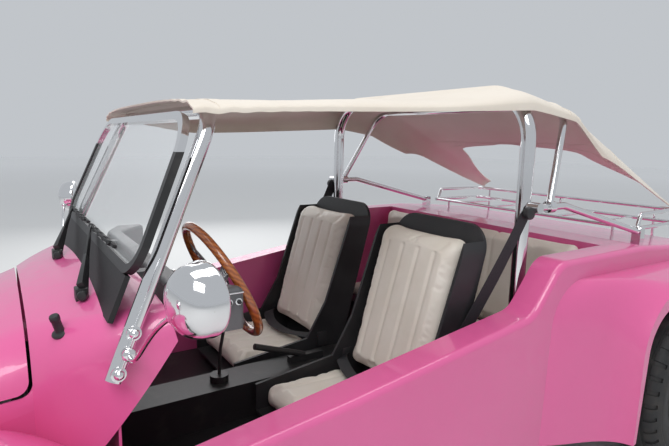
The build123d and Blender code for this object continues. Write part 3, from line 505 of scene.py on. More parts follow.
# %% [markdown]
# ## The canopy
# The top is one piece of cream canvas. It is laced over the top of the windscreen frame and drawn
# over the roll hoop and the rear bow. Behind the bow it ends in a straight rear hem, and its two
# corners run on as tapered tails to the luggage rack. The cloth hangs a little lower on the far side.
# A grid is laid out in rows, and every point is placed on a squared arch between the supports. Where
# a tube lies higher than the arch, the point rests on the tube.

# %% Canopy surface
# Rows: station, half-width, height of the side edge, height of the crown
canopy_rows = [
    (0.548, 0.545, 1.306, 1.349), (0.820, 0.556, 1.323, 1.364), (1.150, 0.568, 1.337, 1.382),
    (1.450, 0.580, 1.352, 1.412), (1.675, 0.592, 1.364, 1.4575), (1.715, 0.592, 1.365, 1.4575),
    (1.924, 0.602, 1.337, 1.4098), (1.944, 0.602, 1.330, 1.4098), (2.200, 0.588, 1.178, 1.272),
    (2.540, 0.578, 1.040, 1.088), (2.812, 0.562, 0.9765, 0.9785)]
front, rear_hem, rear = canopy_rows[0][0], 2.300, canopy_rows[-1][0]
far_drop, far_spread = 0.058, 0.018
tube_step, tube_count = 0.004, 162
ray_step, ray_start = 0.003, 2.0
cloth_lift, tent_width, tent_slope = 0.0030, 0.008, 0.45
cloth_thickness, hem_thickness = 0.0018, 0.0046
squareness = 0.62


def tube_line(node, station):
    """The upper side of a tube as pairs of height and station, from the middle of the car outwards."""
    line = []
    for number in range(tube_count):
        tops = [(0.0, station)]
        for offset in range(-18, 6):
            probe = station + ray_step * offset
            hit, place, *_ = nodes[node].ray_cast((number * tube_step, at(probe), ray_start), (0, 0, -1))
            if hit:
                tops.append((place.z, probe))
        line.append(max(tops))
    return line


tube_lines = [tube_line("main_hoop", 1.695), tube_line("rear_bow", 1.934)]
print("tube tops:", [round(line[0][0], 4) for line in tube_lines])


def smooth_step(low, high, value):
    """0 below low, 1 above high and a smooth curve between."""
    t = min(max((value - low) / (high - low), 0.0), 1.0)
    return t * t * (3 - 2 * t)


def canopy_row(station):
    """Half-width, edge height and crown height at a station, on smooth curves through the rows."""
    last = len(canopy_rows) - 1
    index = max(i for i in range(last) if canopy_rows[i][0] <= station or i == 0)
    before, low, high = canopy_rows[max(index - 1, 0)], canopy_rows[index], canopy_rows[index + 1]
    after = canopy_rows[min(index + 2, last)]
    span = high[0] - low[0]
    t = min(max((station - low[0]) / span, 0.0), 1.0)
    values = []
    for column in (1, 2, 3):
        leave = (high[column] - before[column]) / max(high[0] - before[0], 1e-6) * span
        arrive = (after[column] - low[column]) / max(after[0] - low[0], 1e-6) * span
        values.append(
            (2 * t**3 - 3 * t**2 + 1) * low[column] + (t**3 - 2 * t**2 + t) * leave
            + (3 * t**2 - 2 * t**3) * high[column] + (t**3 - t**2) * arrive)
    return values


def over_tubes(x, station):
    """Height at which the cloth would rest on the nearest tube."""
    heights = [0.0]
    index, share = divmod(abs(x) / tube_step, 1.0)
    for line in tube_lines:
        (low, low_station), (high, high_station) = line[int(index)], line[int(index) + 1]
        if high == 0.0:
            continue
        slope = min(abs(low - high) / tube_step, 2.5)
        away = abs(station - low_station - (high_station - low_station) * share) - tent_width
        rest = low + (high - low) * share + cloth_lift * math.hypot(1, slope)
        heights.append(rest - tent_slope * max(0.0, away))
    return max(heights)


def canopy_point(across, station, lift=0.0):
    """A point of the sheet from -1 to 1 across the car and a station, lifted off by a little."""
    half, edge, crown = canopy_row(station)
    if across < 0:
        slack = smooth_step(0.56, 0.95, station) * (1 - smooth_step(1.9, 2.3, station))
        edge -= far_drop * slack
        half += far_spread * slack
    angle = across * math.pi / 2
    side = math.copysign(abs(math.sin(angle)) ** squareness, across)
    rise = abs(math.cos(angle)) ** squareness
    x, z = half * side, edge + (crown - edge) * rise
    # tension folds fan out from the front corners and die away towards the middle
    corner = math.hypot(station - 0.55, 1.1 * (abs(x) - 0.53))
    z -= 0.0035 * math.sin(corner * 95.0 + 2.0 * across) * math.exp(-corner * 7.0) * (rise < 0.98)
    # slack between the tubes
    z -= 0.004 * math.sin(station * 9.0 + 3.0 * across) * rise * smooth_step(0.7, 0.9, station)
    z -= 0.003 * math.sin(station * 21.0 - 5.0 * x) * rise * smooth_step(2.02, 2.2, station)
    return x, at(station), max(z, over_tubes(x, station)) + lift


def hang(columns, rows, start, end, side=0, lift=0.0):
    """A grid hung on the arch, and the numbers of its faces that lie inside its hems."""
    clear()
    bpy.ops.mesh.primitive_grid_add(x_subdivisions=columns, y_subdivisions=rows, size=2.0)
    piece = bpy.context.object
    middle = [
        face.index for face in piece.data.polygons
        if abs(face.center.x) < 1 - 4 / columns and abs(face.center.y) < 1 - 2 / rows]
    for vertex in piece.data.vertices:
        station = start + (end - start) * (vertex.co.y + 1) / 2
        across = vertex.co.x
        if side:
            low = tail_inner(station)
            across = side * (low + (1 - low) * (1 + side * vertex.co.x) / 2)
        vertex.co = canopy_point(max(-1.0, min(1.0, across)), station, lift)
    return piece, middle


def tail_inner(station):
    """Where the inner edge of a tail lies, as a share of the way to the side."""
    fade = (station - rear_hem) / 0.040
    return 0.30 * (1 - math.exp(-fade * fade)) + 0.34 * smooth_step(2.36, rear, station)


# %% [markdown]
# The hem is the same cloth folded over twice. It is copied from the outer faces of the sheet,
# before the sheet gets its thickness, and made a little thicker, so that it lies on the sheet as a
# real fold does. Three sewn bands cross the sheet, one behind the windscreen and two at the bow.

# %% Canopy sheet, hems and seams
sheets, hems = [], []
tail_start = rear_hem - 0.004
# Grids: columns, rows, first station, last station, side
layout = [(56, 118, front, rear_hem, 0), (12, 30, tail_start, rear, 1), (12, 30, tail_start, rear, -1)]
for columns, rows, start, end, side in layout:
    sheet, middle = hang(columns, rows, start, end, side)
    pick(sheet)
    bpy.ops.object.duplicate()
    hem = bpy.context.object
    mode("EDIT")
    bpy.ops.mesh.select_all(action="DESELECT")
    mode("OBJECT")
    for index in middle:
        hem.data.polygons[index].select = True
    mode("EDIT")
    bpy.ops.mesh.delete(type="FACE")
    mode("OBJECT")
    sheets.append(sheet)
    hems.append(hem)
for start, end in ((0.612, 0.634), (1.905, 1.925), (1.962, 1.970)):
    seam, middle = hang(56, 2, start, end, lift=0.0006)
    hems.append(seam)


def strip_length(points):
    """Length of a line through points."""
    return sum((Vector(b) - Vector(a)).length for a, b in zip(points, points[1:]))


steps = [i / 60 for i in range(61)]
flat_width = max(
    strip_length([canopy_point(2 * t - 1, front + (rear_hem - front) * station) for t in steps])
    for station in steps)
flat_length = max(
    strip_length([canopy_point(across, front + (rear - front) * t) for t in steps])
    for across in (-1.0, -0.8, 0.8, 1.0))
canopy_cloth, canopy_hem = join(sheets), join(hems)
modify(canopy_hem, "SOLIDIFY", thickness=hem_thickness, offset=0.0)
modify(canopy_cloth, "SOLIDIFY", thickness=cloth_thickness, offset=0.0)
register(canopy_cloth, "canopy_cloth", "canvas", smooth=60.0)
register(canopy_hem, "canopy_hem", "canvas", smooth=60.0)
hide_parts("canopy")

# %% [markdown]
# ## The seats
# A pad is foam in a sewn cover: its faces swell between the seams and its sides pull in. Each one
# starts as a block a little smaller than its solid, is filled with small even faces and is blown up
# by the cloth solver. No point ends more than 12 mm from where it was. The sewn channels are pressed
# in afterwards, so that the solver can't fill them.

# %% Padding
pad_voxel, pad_cap = 0.007, 0.012
pad_pressure, pad_frames = 4.0, 15


def wedge(corners, low_x, high_x):
    """A block across the car from four corners in stations and heights."""
    clear()
    bpy.ops.mesh.primitive_cube_add(size=2.0, location=(0, 0, 0))
    piece = bpy.context.object
    low_front, high_front, high_rear, low_rear = corners
    for vertex in piece.data.vertices:
        rows = (low_front, low_rear) if vertex.co.z < 0 else (high_front, high_rear)
        station, height = rows[vertex.co.y > 0]
        vertex.co = (high_x if vertex.co.x > 0 else low_x, at(station), height)
    return piece


def swell(piece):
    """Blow a closed form up by no more than the cap."""
    piece.data.remesh_voxel_size = pad_voxel
    pick(piece)
    bpy.ops.object.voxel_remesh()
    before = [vertex.co.copy() for vertex in piece.data.vertices]
    padding = piece.modifiers.new("padding", "CLOTH")
    padding.settings.use_pressure = True
    padding.settings.uniform_pressure_force = pad_pressure
    padding.settings.effector_weights.gravity = 0.0
    for number in range(1, pad_frames + 1):
        bpy.context.scene.frame_set(number)
    graph = bpy.context.evaluated_depsgraph_get()
    after = [vertex.co.copy() for vertex in piece.evaluated_get(graph).data.vertices]
    piece.modifiers.remove(padding)
    bpy.context.scene.frame_set(1)
    for vertex, start, end in zip(piece.data.vertices, before, after):
        move = end - start
        if move.length > pad_cap:
            move *= pad_cap / move.length
        vertex.co = start + move
    piece.data.update()


# Pads: name, side walls, rounding, four corners (front foot, front top, rear top, rear foot)
pad_rows = [
    ("seat_cushion", 0.118, 0.542, 0.030, ((0.922, 0.292), (0.926, 0.372), (1.250, 0.362), (1.345, 0.292))),
    ("seat_back", 0.122, 0.538, 0.045, ((1.278, 0.385), (1.436, 0.925), (1.520, 0.935), (1.384, 0.385))),
    ("bench_cushion", -0.585, 0.585, 0.030, ((1.784, 0.396), (1.786, 0.468), (1.965, 0.458), (1.965, 0.396))),
    ("bench_back", -0.585, 0.585, 0.035, ((1.986, 0.470), (2.034, 0.866), (2.088, 0.872), (2.092, 0.400)))]
for name, low_x, high_x, rounding, corners in pad_rows:
    pad = wedge(corners, low_x, high_x)
    modify(pad, "BEVEL", width=rounding, segments=5)
    swell(pad)
    channels = [low_x + (high_x - low_x) * t for t in (0.2, 0.4, 0.6, 0.8)]
    if name == "seat_back":
        press(pad, channels, 0.007, 0.006, reach=lambda co: 0.45 < co.z < 0.88)
    if name == "seat_cushion":
        press(pad, channels, 0.006, 0.006, reach=lambda co: at(0.96) < co.y < at(1.24))
    if name.startswith("bench"):
        press(pad, [-0.19, 0.19], 0.008, 0.008)
    modify(pad, "SUBSURF", levels=1, render_levels=1)
    register(pad, name, "cream_vinyl", smooth=60.0)
    if name.startswith("seat"):
        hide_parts("seat_pads")
        other = mirrored(pad)
        register(other, name + "_right", "cream_vinyl", smooth=60.0)
        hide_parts("seat_pads")
    else:
        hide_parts("rear_bench")

# %% [markdown]
# ## Belts
# The front belts are flat black webbing 48 mm wide. One strap hangs from the ball on the roll hoop
# to the outer side of the seat, and the lap strap lies over the cushion. A strap is a narrow grid,
# laid along a smooth line through a few places, with the thickness of the webbing.

# %% Seat belts
strap_half, strap_thickness = 0.024, 0.0018


def strap(name, side, rows):
    """Flat webbing on one side of the car, through places that each have a direction for its width."""
    points, across = [[Vector((side * x, y, z)) for x, y, z in column] for column in zip(*rows)]
    clear()
    bpy.ops.mesh.primitive_grid_add(x_subdivisions=1, y_subdivisions=12 * (len(points) - 1), size=2.0)
    piece = bpy.context.object
    spans = len(points) - 1
    for vertex in piece.data.vertices:
        t = (vertex.co.y + 1) / 2 * spans
        index = min(int(t), spans - 1)
        f = t - index
        p = [points[max(0, min(spans, index + k))] for k in (-1, 0, 1, 2)]
        middle = 0.5 * (
            2 * p[1] + (p[2] - p[0]) * f + (2 * p[0] - 5 * p[1] + 4 * p[2] - p[3]) * f * f
            + (3 * p[1] - p[0] - 3 * p[2] + p[3]) * f**3)
        width_line = across[index].lerp(across[index + 1], f).normalized()
        vertex.co = middle + width_line * strap_half * (1 if vertex.co.x > 0 else -1)
    modify(piece, "SOLIDIFY", thickness=strap_thickness, offset=0.0)
    register(piece, name, "webbing", smooth=50.0)


# Places on the left side, each with the direction of the strap's width
shoulder = [
    ((0.612, at(1.676), 1.018), (0, 0.55, -0.2)), ((0.604, at(1.630), 0.930), (0, 0.8, -0.5)),
    ((0.590, at(1.560), 0.800), (0.1, 0.85, -0.5)), ((0.572, at(1.450), 0.620), (0.1, 0.85, -0.45)),
    ((0.556, at(1.360), 0.470), (0.1, 0.9, -0.4)), ((0.548, at(1.300), 0.400), (0.1, 0.95, -0.3))]
lap = [
    ((0.548, at(1.300), 0.400), (0, 0.9, 0.3)), ((0.500, at(1.245), 0.412), (0, 0.95, 0.15)),
    ((0.420, at(1.215), 0.398), (0, 1, 0)), ((0.330, at(1.205), 0.396), (0, 1, 0)),
    ((0.240, at(1.215), 0.398), (0, 1, 0)), ((0.150, at(1.245), 0.410), (0, 0.95, 0.15)),
    ((0.108, at(1.290), 0.402), (0, 0.9, 0.3))]
for side, label in car_sides:
    strap("belt_shoulder_" + label, side, shoulder)
    strap("belt_lap_" + label, side, lap)
    buckle = brick((side * 0.096 - 0.014, at(1.275), 0.372), (side * 0.096 + 0.014, at(1.320), 0.432), 0.004)
    stalk = rod((side * 0.090, at(1.300), 0.300), (side * 0.096, at(1.300), 0.380), 0.008)
    register(join([buckle, stalk]), "belt_buckle_" + label, "black_shell")
    anchor = lathe([(0.009, 0.0), (0.021, 0.004), (0.023, 0.014), (0.021, 0.024), (0.009, 0.028)],
                   (side * 0.6104, at(1.676), 1.020), (side, 0, 0), 24)
    register(anchor, "belt_anchor_" + label, "black_shell")

# %% [markdown]
# ## Tyres
# A road tyre has a flat tread cut by long grooves, blocks at its shoulders and a side wall with two
# raised rings. A torus already has the ring of even faces that this needs: its section is reshaped
# point by point from one table, and every third slice of the shoulders is then pressed in.

# %% Tyre treads
tyre_slices = 114
bead_radius = 0.190
block_depth = 0.0055
# Half section: distance across as a share of the half width, drop below the tread in metres
section_rows = [
    (0.050, 0.0070), (0.060, 0.0000), (0.140, 0.0000), (0.220, 0.0004), (0.300, 0.0008), (0.310, 0.0078),
    (0.390, 0.0084), (0.400, 0.0016), (0.490, 0.0022), (0.570, 0.0032), (0.580, 0.0098), (0.650, 0.0106),
    (0.660, 0.0052), (0.730, 0.0070), (0.810, 0.0105), (0.890, 0.0200), (0.950, 0.0340), (0.975, 0.0460),
    (0.990, 0.0540), (0.975, 0.0590), (0.990, 0.0640), (0.965, 0.0900)]


def tyre_ring(radius, half):
    """The whole section of a tyre as distances across and radii."""
    side = [(across * half, radius - drop) for across, drop in section_rows]
    side += [(half * 0.86, bead_radius + 0.008), (half * 0.80, bead_radius + 0.001),
             (half * 0.66, bead_radius + 0.018)]
    return [(-across, reach) for across, reach in reversed(side)] + side


def add_tyre(node, body, x, station, radius, width):
    """A tyre around a wheel's axle, with grooves and shoulder blocks."""
    half = width / 2
    ring = tyre_ring(radius, half)
    clear()
    bpy.ops.mesh.primitive_torus_add(
        major_segments=tyre_slices, minor_segments=len(ring), major_radius=radius, minor_radius=0.05)
    piece = bpy.context.object
    for vertex in piece.data.vertices:
        turn = 2 * math.pi * (vertex.index // len(ring)) / tyre_slices
        across, reach = ring[vertex.index % len(ring)]
        vertex.co = (x + across, at(station) + reach * math.cos(turn), radius + reach * math.sin(turn))
    face_outwards(piece)
    slice_turn = 2 * math.pi / tyre_slices
    for face in piece.data.polygons:
        across, ahead, up = face.center.x - x, face.center.y - at(station), face.center.z - radius
        number = int((math.atan2(up, ahead) % (2 * math.pi)) / slice_turn)
        share, drop = abs(across) / half, radius - math.hypot(ahead, up)
        shift = 0 if across > 0 else 1
        face.select = share > 0.655 and drop < 0.036 and (number + shift) % 3 == 0
    mode("EDIT")
    bpy.ops.mesh.extrude_region_shrink_fatten(TRANSFORM_OT_shrink_fatten={"value": -block_depth})
    mode("OBJECT")
    register(piece, node + "_tread", "tyre_rubber", body, smooth=28.0)
    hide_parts(node)


# Wheels: end of the names, side, axle station, middle, radius, width, face of the rim's disc
wheel_rows = [
    (f"{end}_{label}", side, *row) for end, row in (
        ("front", (0.0, 0.680, 0.310, 0.186, 0.684)), ("rear", (wheelbase, 0.800, 0.335, 0.245, 0.744)))
    for side, label in car_sides]
for name, side, station, x, radius, width, disc_x in wheel_rows:
    add_tyre("tyre_" + name, "wheel_" + name, side * x, station, radius, width)

# %% [markdown]
# The rims are the frame's own. A cap with a stepped edge closes each hub, five domed nuts hold the
# disc, and a valve stands at the edge. The nuts are turned from one profile.

# %% Hub caps, nuts and valves
cap_profile = [(0.040, 0.0), (0.043, 0.003), (0.041, 0.010), (0.034, 0.022), (0.022, 0.030), (0.006, 0.033)]
nut_profile = [(0.013, 0.0), (0.013, 0.003), (0.0095, 0.004), (0.0095, 0.014), (0.006, 0.018), (0.001, 0.019)]
valve_profile = [(0.005, 0.0), (0.0055, 0.006), (0.004, 0.008), (0.004, 0.020), (0.0025, 0.022)]
nut_count, nut_circle, valve_circle = 5, 0.068, 0.170
for name, side, station, _, radius, _, disc_x in wheel_rows:
    out, y = (side, 0, 0), at(station)
    cap = lathe(cap_profile, (side * (disc_x + 0.0242), y, radius), out, 40)
    register(cap, "hub_cap_" + name, "chrome", "wheel_" + name)
    nuts = []
    for number in range(nut_count):
        turn = 2 * math.pi * (number + 0.25) / nut_count
        ahead, up = nut_circle * math.cos(turn), nut_circle * math.sin(turn)
        nuts.append(lathe(nut_profile, (side * (disc_x + 0.0002), y + ahead, radius + up), out, 12))
    register(join(nuts), "wheel_nuts_" + name, "chrome", "wheel_" + name)
    valve = lathe(valve_profile, (side * (disc_x - 0.0002), y, radius + valve_circle), out, 12)
    register(valve, "valve_" + name, "rubber", "wheel_" + name)

# %% [markdown]
# ## The steering wheel
# The rim is bent mahogany under varnish, held by a drilled alloy spider with a chrome boss. Rim and
# spider are different materials, so the wheel is made again in pieces around the column's line, and
# they stand for the frame's solid.

# %% Steering wheel
wheel_centre = Vector((0.327, at(0.691), 0.845))
wheel_axis = Vector((0.0, math.cos(math.radians(27.0)), math.sin(math.radians(27.0))))
rim_radius, rim_thickness = 0.182, 0.0128
grip_count, grip_depth = 36, 0.0014


def on_column(piece):
    """Turn a piece made round the z axis onto the column's line."""
    settle(piece)
    piece.rotation_euler = wheel_axis.to_track_quat("Z", "Y").to_euler()
    piece.location = wheel_centre
    settle(piece)
    return piece


clear()
bpy.ops.mesh.primitive_torus_add(
    major_segments=120, minor_segments=20, major_radius=rim_radius, minor_radius=rim_thickness)
wheel_rim = bpy.context.object
for vertex in wheel_rim.data.vertices:
    reach = math.hypot(vertex.co.x, vertex.co.y)
    turn = math.atan2(vertex.co.y, vertex.co.x)
    inner = max(0.0, (rim_radius - reach) / rim_thickness)
    grip = grip_depth * inner * math.cos(grip_count * turn)
    vertex.co.x *= (reach + grip) / reach
    vertex.co.y *= (reach + grip) / reach
on_column(wheel_rim)
register(wheel_rim, "steering_rim", "wood_rim", "steering_wheel", smooth=60.0)
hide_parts("steering_wheel")
spokes = []
for number in range(3):
    turn = math.radians(-90 + 120 * number)
    clear()
    bpy.ops.mesh.primitive_cube_add(size=1.0)
    spoke = bpy.context.object
    spoke.scale = (0.152, 0.034, 0.0036)
    spoke.location = (0.100, 0.0, -0.001)
    settle(spoke)
    hole = lathe([(0.0085, -0.01), (0.0085, 0.01)], (0, 0, 0), sides=24)
    for reach in (0.065, 0.095, 0.125, 0.152):
        hole.location = (reach, 0, 0)
        bpy.context.view_layer.update()
        modify(spoke, "BOOLEAN", operation="DIFFERENCE", object=hole)
    bpy.data.objects.remove(hole)
    modify(spoke, "BEVEL", width=0.0007, segments=2)
    spoke.rotation_euler = (0, 0, turn)
    spokes.append(on_column(spoke))
register(join(spokes), "steering_spokes", "alloy", "steering_wheel")
boss_profile = [
    (0.020, -0.060), (0.030, -0.052), (0.030, -0.008), (0.038, -0.004), (0.038, 0.002), (0.030, 0.004)]
horn_profile = [(0.0275, 0.0038), (0.027, 0.008), (0.022, 0.012), (0.012, 0.0145), (0.002, 0.015)]
for name, slot, profile in (
        ("steering_boss", "chrome", boss_profile), ("horn_button", "black_shell", horn_profile)):
    register(on_column(lathe(profile, (0, 0, 0))), name, slot, "steering_wheel")

# %% [markdown]
# ## Dashboard
# The end of the dashboard faces the door opening and carries three switches in chrome rings below
# a bright strip. Two round instruments with chrome bezels face the driver.

# %% Switches and instruments
end_x, switch_z = 0.552, 0.850
for number, station in enumerate((0.600, 0.625, 0.650)):
    ring = lathe([(0.0085, 0.0), (0.0095, 0.002), (0.0090, 0.0045), (0.0062, 0.005), (0.0058, 0.002)],
                 (end_x + 0.0002, at(station), switch_z), (1, 0, 0), 28)
    register(ring, f"switch_ring_{number}", "chrome")
    knob = lathe([(0.0052, 0.0), (0.0050, 0.009), (0.0036, 0.012), (0.001, 0.013)],
                 (end_x + 0.0022, at(station), switch_z), (1, 0, 0), 20)
    register(knob, f"switch_knob_{number}", "black_shell")
strip = brick((end_x + 0.0002, at(0.584), 0.870), (end_x + 0.0030, at(0.664), 0.874), 0.001)
register(strip, "dash_strip", "chrome")
for number, x in enumerate((0.275, 0.380)):
    place = (x, at(0.5662), 0.832)
    bezel = lathe([(0.046, 0.0), (0.047, 0.006), (0.044, 0.011), (0.040, 0.012), (0.039, 0.006)],
                  place, (0, 1, 0), 48)
    register(bezel, f"gauge_bezel_{number}", "chrome")
    face = lathe([(0.0385, 0.0), (0.0385, 0.0062), (0.001, 0.0066)], place, (0, 1, 0), 48)
    register(face, f"gauge_face_{number}", "black_shell")

# %% [markdown]
# ## Posts, mirrors and wipers
# Each windscreen post is bolted through the side of the scuttle by two domed nuts, with a short bar
# between them.

# %% Post bolts
post_foot, post_top = Vector((0.586, at(0.345), 0.726)), Vector((0.504, at(0.612), 1.318))
post_line = (post_top - post_foot).normalized()


def on_post(height):
    """Point of the post's middle line at a height."""
    return post_foot + post_line * ((height - post_foot.z) / post_line.z)


outward = Vector((1.0, 0.0, 0.0))
outward = (outward - post_line * outward.dot(post_line)).normalized()
dome_profile = [(0.0165, 0.0), (0.0165, 0.003), (0.0115, 0.004), (0.0115, 0.009), (0.0090, 0.014),
                (0.0045, 0.017), (0.001, 0.018)]
for side, label in car_sides:
    flip = Vector((side, 1, 1))
    fixings = [
        lathe(dome_profile, (on_post(height) + outward * 0.0175) * flip, outward * flip, 24)
        for height in (0.744, 0.826)]
    low, high = on_post(0.752) + outward * 0.0188, on_post(0.818) + outward * 0.0188
    fixings.append(rod(low * flip, high * flip, 0.0045, 16))
    register(join(fixings), "post_fixings_" + label, "chrome")

# %% [markdown]
# The mirror is a deep polished cup with a rolled rim. Its arm is one bent chrome rod, from a boss on
# the post to a small ball behind the cup. The glass lies a few millimetres inside the rim.

# %% Mirrors


def tube(points, radius):
    """A bent round rod on a smooth line through a few points."""
    clear()
    bpy.ops.curve.primitive_nurbs_path_add(location=(0, 0, 0))
    rod_line = bpy.context.object
    spline = rod_line.data.splines[0]
    spline.points.add(max(0, len(points) - len(spline.points)))
    for point, place in zip(spline.points, points):
        point.co = (*place, 1.0)
    spline.order_u = 3
    spline.use_endpoint_u = True
    rod_line.data.bevel_depth = radius
    rod_line.data.bevel_resolution = 5
    rod_line.data.use_fill_caps = True
    pick(rod_line)
    bpy.ops.object.convert(target="MESH")
    return bpy.context.object


cup_profile = [
    (0.0620, -0.010), (0.0655, -0.012), (0.0685, -0.009), (0.0690, -0.003), (0.0675, 0.002), (0.0665, 0.012),
    (0.0640, 0.023), (0.0585, 0.034), (0.0490, 0.044), (0.0360, 0.051), (0.0200, 0.055), (0.0060, 0.056)]
arm_places = [
    (0.612, 0.375, 0.790), (0.640, 0.374, 0.785), (0.668, 0.379, 0.800), (0.740, 0.388, 0.868),
    (0.815, 0.397, 0.925), (0.858, 0.412, 0.952)]
for side, label in car_sides:
    centre = Vector((side * 0.880, at(0.447), 0.976))
    forward = Vector((side * 0.2873, -0.9578, 0.0)).normalized()
    cup = lathe(cup_profile, centre, forward, 64)
    register(cup, "mirror_cup_" + label, "chrome", smooth=50.0)
    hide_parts("mirrors")
    glass = lathe(
        [(0.0625, 0.0), (0.0615, 0.0006), (0.0010, 0.0008)], centre - forward * 0.0098, -forward, 64)
    register(glass, "mirror_glass_" + label, "chrome")
    arm = join([
        tube([(side * x, at(station), z) for x, station, z in arm_places], 0.0052),
        lathe([(0.013, 0.0), (0.015, 0.003), (0.015, 0.017), (0.012, 0.021), (0.006, 0.023)],
              (side * 0.599, at(0.375), 0.790), (side, 0, 0), 28),
        lathe([(0.005, -0.011), (0.009, -0.008), (0.011, 0.0), (0.009, 0.008), (0.005, 0.011)],
              (side * 0.846, at(0.405), 0.942), (side * 0.6, 0.1, 0.55), 20)])
    register(arm, "mirror_arm_" + label, "chrome")
    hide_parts("mirrors")

# %% [markdown]
# A wiper is a cast pivot with a wide arm that narrows to its tip. The arms press long rubber blades
# on the lower edge of the glass. Arm, pivot and blade are black, so their forms tell them apart.

# %% Wipers
screen_foot, screen_top = Vector((0.0, at(0.396), 0.941)), Vector((0.0, at(0.556), 1.313))
screen_up = (screen_top - screen_foot).normalized()
screen_out = Vector((0.0, -screen_up.z, screen_up.y))


def on_screen(x, height, out):
    """Point in front of the glass from a half-width, a slant height and a distance."""
    return Vector((x, 0, 0)) + screen_foot + screen_up * height + screen_out * out


def taper_bar(start, end, across, wide, thick, bevel=0.0012):
    """A bar that narrows from its start to its end; wide and thick are pairs of full sizes."""
    start, end = Vector(start), Vector(end)
    along = (end - start).normalized()
    across = Vector(across)
    across = (across - along * across.dot(along)).normalized()
    up = along.cross(across)
    clear()
    bpy.ops.mesh.primitive_cube_add(size=2.0, location=(0, 0, 0))
    piece = bpy.context.object
    for vertex in piece.data.vertices:
        last = vertex.co.y > 0
        middle = end if last else start
        vertex.co = middle + across * vertex.co.x * wide[last] / 2 + up * vertex.co.z * thick[last] / 2
    face_outwards(piece)
    modify(piece, "BEVEL", width=bevel, segments=2)
    return piece


blade_height = 0.034
# Wipers: pivot, arm's tip and blade's ends as places across the glass
wiper_rows = [((-0.145, 0.312, 0.858), -0.410, -0.500, -0.085), ((0.330, 0.322, 0.850), 0.040, -0.040, 0.350)]
for number, ((x, station, z), tip_x, blade_low, blade_high) in enumerate(wiper_rows):
    pivot = Vector((x, at(station), z))
    tip = on_screen(tip_x, 0.036, 0.021)
    base = pivot + Vector((0, 0.004, 0.030))
    arm = join([
        taper_bar(pivot - Vector((0.020, 0, 0)), pivot + Vector((0.018, 0, 0)), (0, 1, 0), (0.030, 0.030),
                  (0.052, 0.052), 0.003),
        lathe([(0.011, 0.0), (0.0125, 0.002), (0.0125, 0.022), (0.0105, 0.026), (0.004, 0.027)],
              pivot + Vector((0.014, 0.002, 0.010)), (1, -0.25, 0.1), 24),
        taper_bar(base + (base - tip).normalized() * 0.012, base.lerp(tip, 0.45), (0, -0.4, 0.9),
                  (0.032, 0.018), (0.016, 0.008)),
        taper_bar(base.lerp(tip, 0.43), tip, (0, -0.4, 0.9), (0.017, 0.008), (0.0075, 0.004))])
    register(arm, f"wiper_arm_{number}", "black_metal")
    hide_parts("wipers")
    # Bars along the glass: both ends, distance out, width and thickness
    bars = [(blade_low + 0.03, blade_high - 0.03, 0.0175, 0.007, 0.004),
            (blade_low, blade_high, 0.0085, 0.009, 0.011)]
    for t in (0.035, 0.110, 0.185, 0.260, 0.330):
        bars.append((blade_low + t, blade_low + t + 0.022, 0.0130, 0.013, 0.013))
    blade = [
        taper_bar(on_screen(low, blade_height, out), on_screen(high, blade_height, out), screen_up,
                  (wide, wide), (thick, thick))
        for low, high, out, wide, thick in bars]
    register(join(blade), f"wiper_blade_{number}", "rubber")

# %% [markdown]
# ## Scuttle and lamps
# A small black knob with a flange stands beside the bonnet. The headlamp lenses carry upright
# flutes, which are modelled, because they break up the light in a way that no colour does. Each
# tail lamp gets a chrome ring.

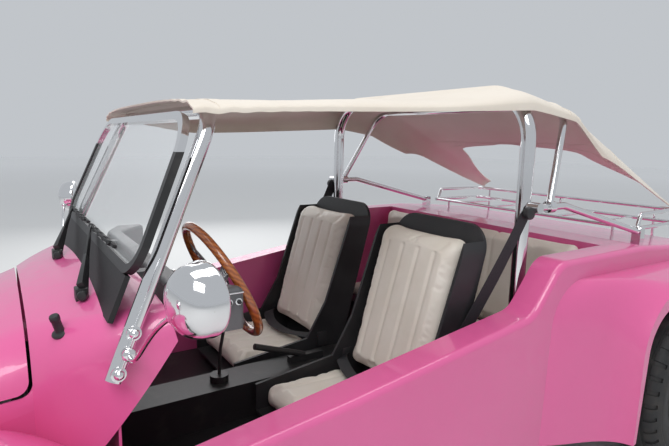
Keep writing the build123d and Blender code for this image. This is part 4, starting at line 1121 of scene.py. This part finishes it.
# %% Scuttle knob and lamp details
knob = lathe([(0.0195, 0.0), (0.0200, 0.003), (0.0180, 0.0065), (0.0108, 0.009), (0.0100, 0.012),
              (0.0100, 0.038), (0.0112, 0.040), (0.0112, 0.049), (0.0095, 0.052), (0.0030, 0.053)],
             (0.438, at(0.263), 0.801), (0.22, -0.28, 1.0), 32)
register(knob, "scuttle_knob", "black_shell")
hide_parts("filler_cap")
lens_radius, lens_z, flute_step = 0.078, 0.775, 0.0115
for side, label in car_sides:
    flutes = []
    for number in range(-6, 7):
        x = number * flute_step
        reach = math.sqrt(lens_radius**2 - x**2) - 0.003
        foot = (side * 0.560 + x, at(-0.3625), lens_z - reach)
        flutes.append(rod(foot, (foot[0], foot[1], lens_z + reach), 0.0042, 10, 0.002))
    register(join(flutes), "lens_flutes_" + label, "lamp_glass")
    bezel = lathe([(0.0450, 0.0), (0.0500, 0.004), (0.0500, 0.016), (0.0460, 0.020), (0.0430, 0.016)],
                  (side * 0.450, at(2.910), 0.7045), (0, 0.857, 0.514), 48)
    register(bezel, "tail_lamp_ring_" + label, "chrome")

# %% [markdown]
# ## Floor and light
# The floor is plain and pale, and grows paler with distance, so that its end hardly shows. The lamps
# are large and soft, as in a studio for cars. One long lamp above gives the gelcoat and the chrome a
# clean line of light.

# %% Floor and lamps
floor_reach = 30.0


def add_floor():
    """A pale floor that fades into the backdrop with distance."""
    bpy.ops.mesh.primitive_plane_add(size=2 * floor_reach, location=(0, 0, 0))
    floor = bpy.context.object
    floor.name = "floor"
    finish = Finish("pale floor")
    clouds = finish.noise(0.6, 3.0)
    distance = finish.node("ShaderNodeVectorMath", {"operation": "LENGTH"}, {0: finish.place()}, output=1)
    far = finish.ramp(distance / floor_reach, (0.12, 0.0), (0.75, 1.0))
    near_colour = finish.blend(clouds, (0.72, 0.72, 0.71), (0.75, 0.75, 0.74))
    floor.data.materials.append(
        finish.set(Base_Color=finish.blend(far, near_colour, (0.97, 0.97, 0.97)), Roughness=0.75))


def add_lamp(name, place, aim, size, power):
    """A soft rectangular lamp aimed at a point."""
    bpy.ops.object.light_add(type="AREA", location=place)
    lamp = bpy.context.object
    lamp.name = name
    lamp.data.shape = "RECTANGLE"
    lamp.data.size, lamp.data.size_y = size
    lamp.data.energy = power
    lamp.rotation_euler = (Vector(aim) - Vector(place)).to_track_quat("-Z", "Y").to_euler()


add_floor()
add_lamp("key_lamp", (3.5, -3.0, 5.0), (0, 0, 0.6), (3.5, 2.5), 150.0)
add_lamp("roof_lamp", (0.0, 0.0, 6.0), (0, 0, 0), (2.5, 6.0), 120.0)
add_lamp("fill_lamp", (-4.5, 1.0, 3.0), (0, 0, 0.7), (3.0, 4.0), 60.0)
world = bpy.data.worlds.new("studio")
world.use_nodes = True
backdrop = world.node_tree.nodes["Background"].inputs
backdrop["Color"].default_value = (0.86, 0.90, 0.95, 1.0)
backdrop["Strength"].default_value = 0.62
bpy.context.scene.world = world
bpy.context.scene.view_settings.view_transform = "Standard"
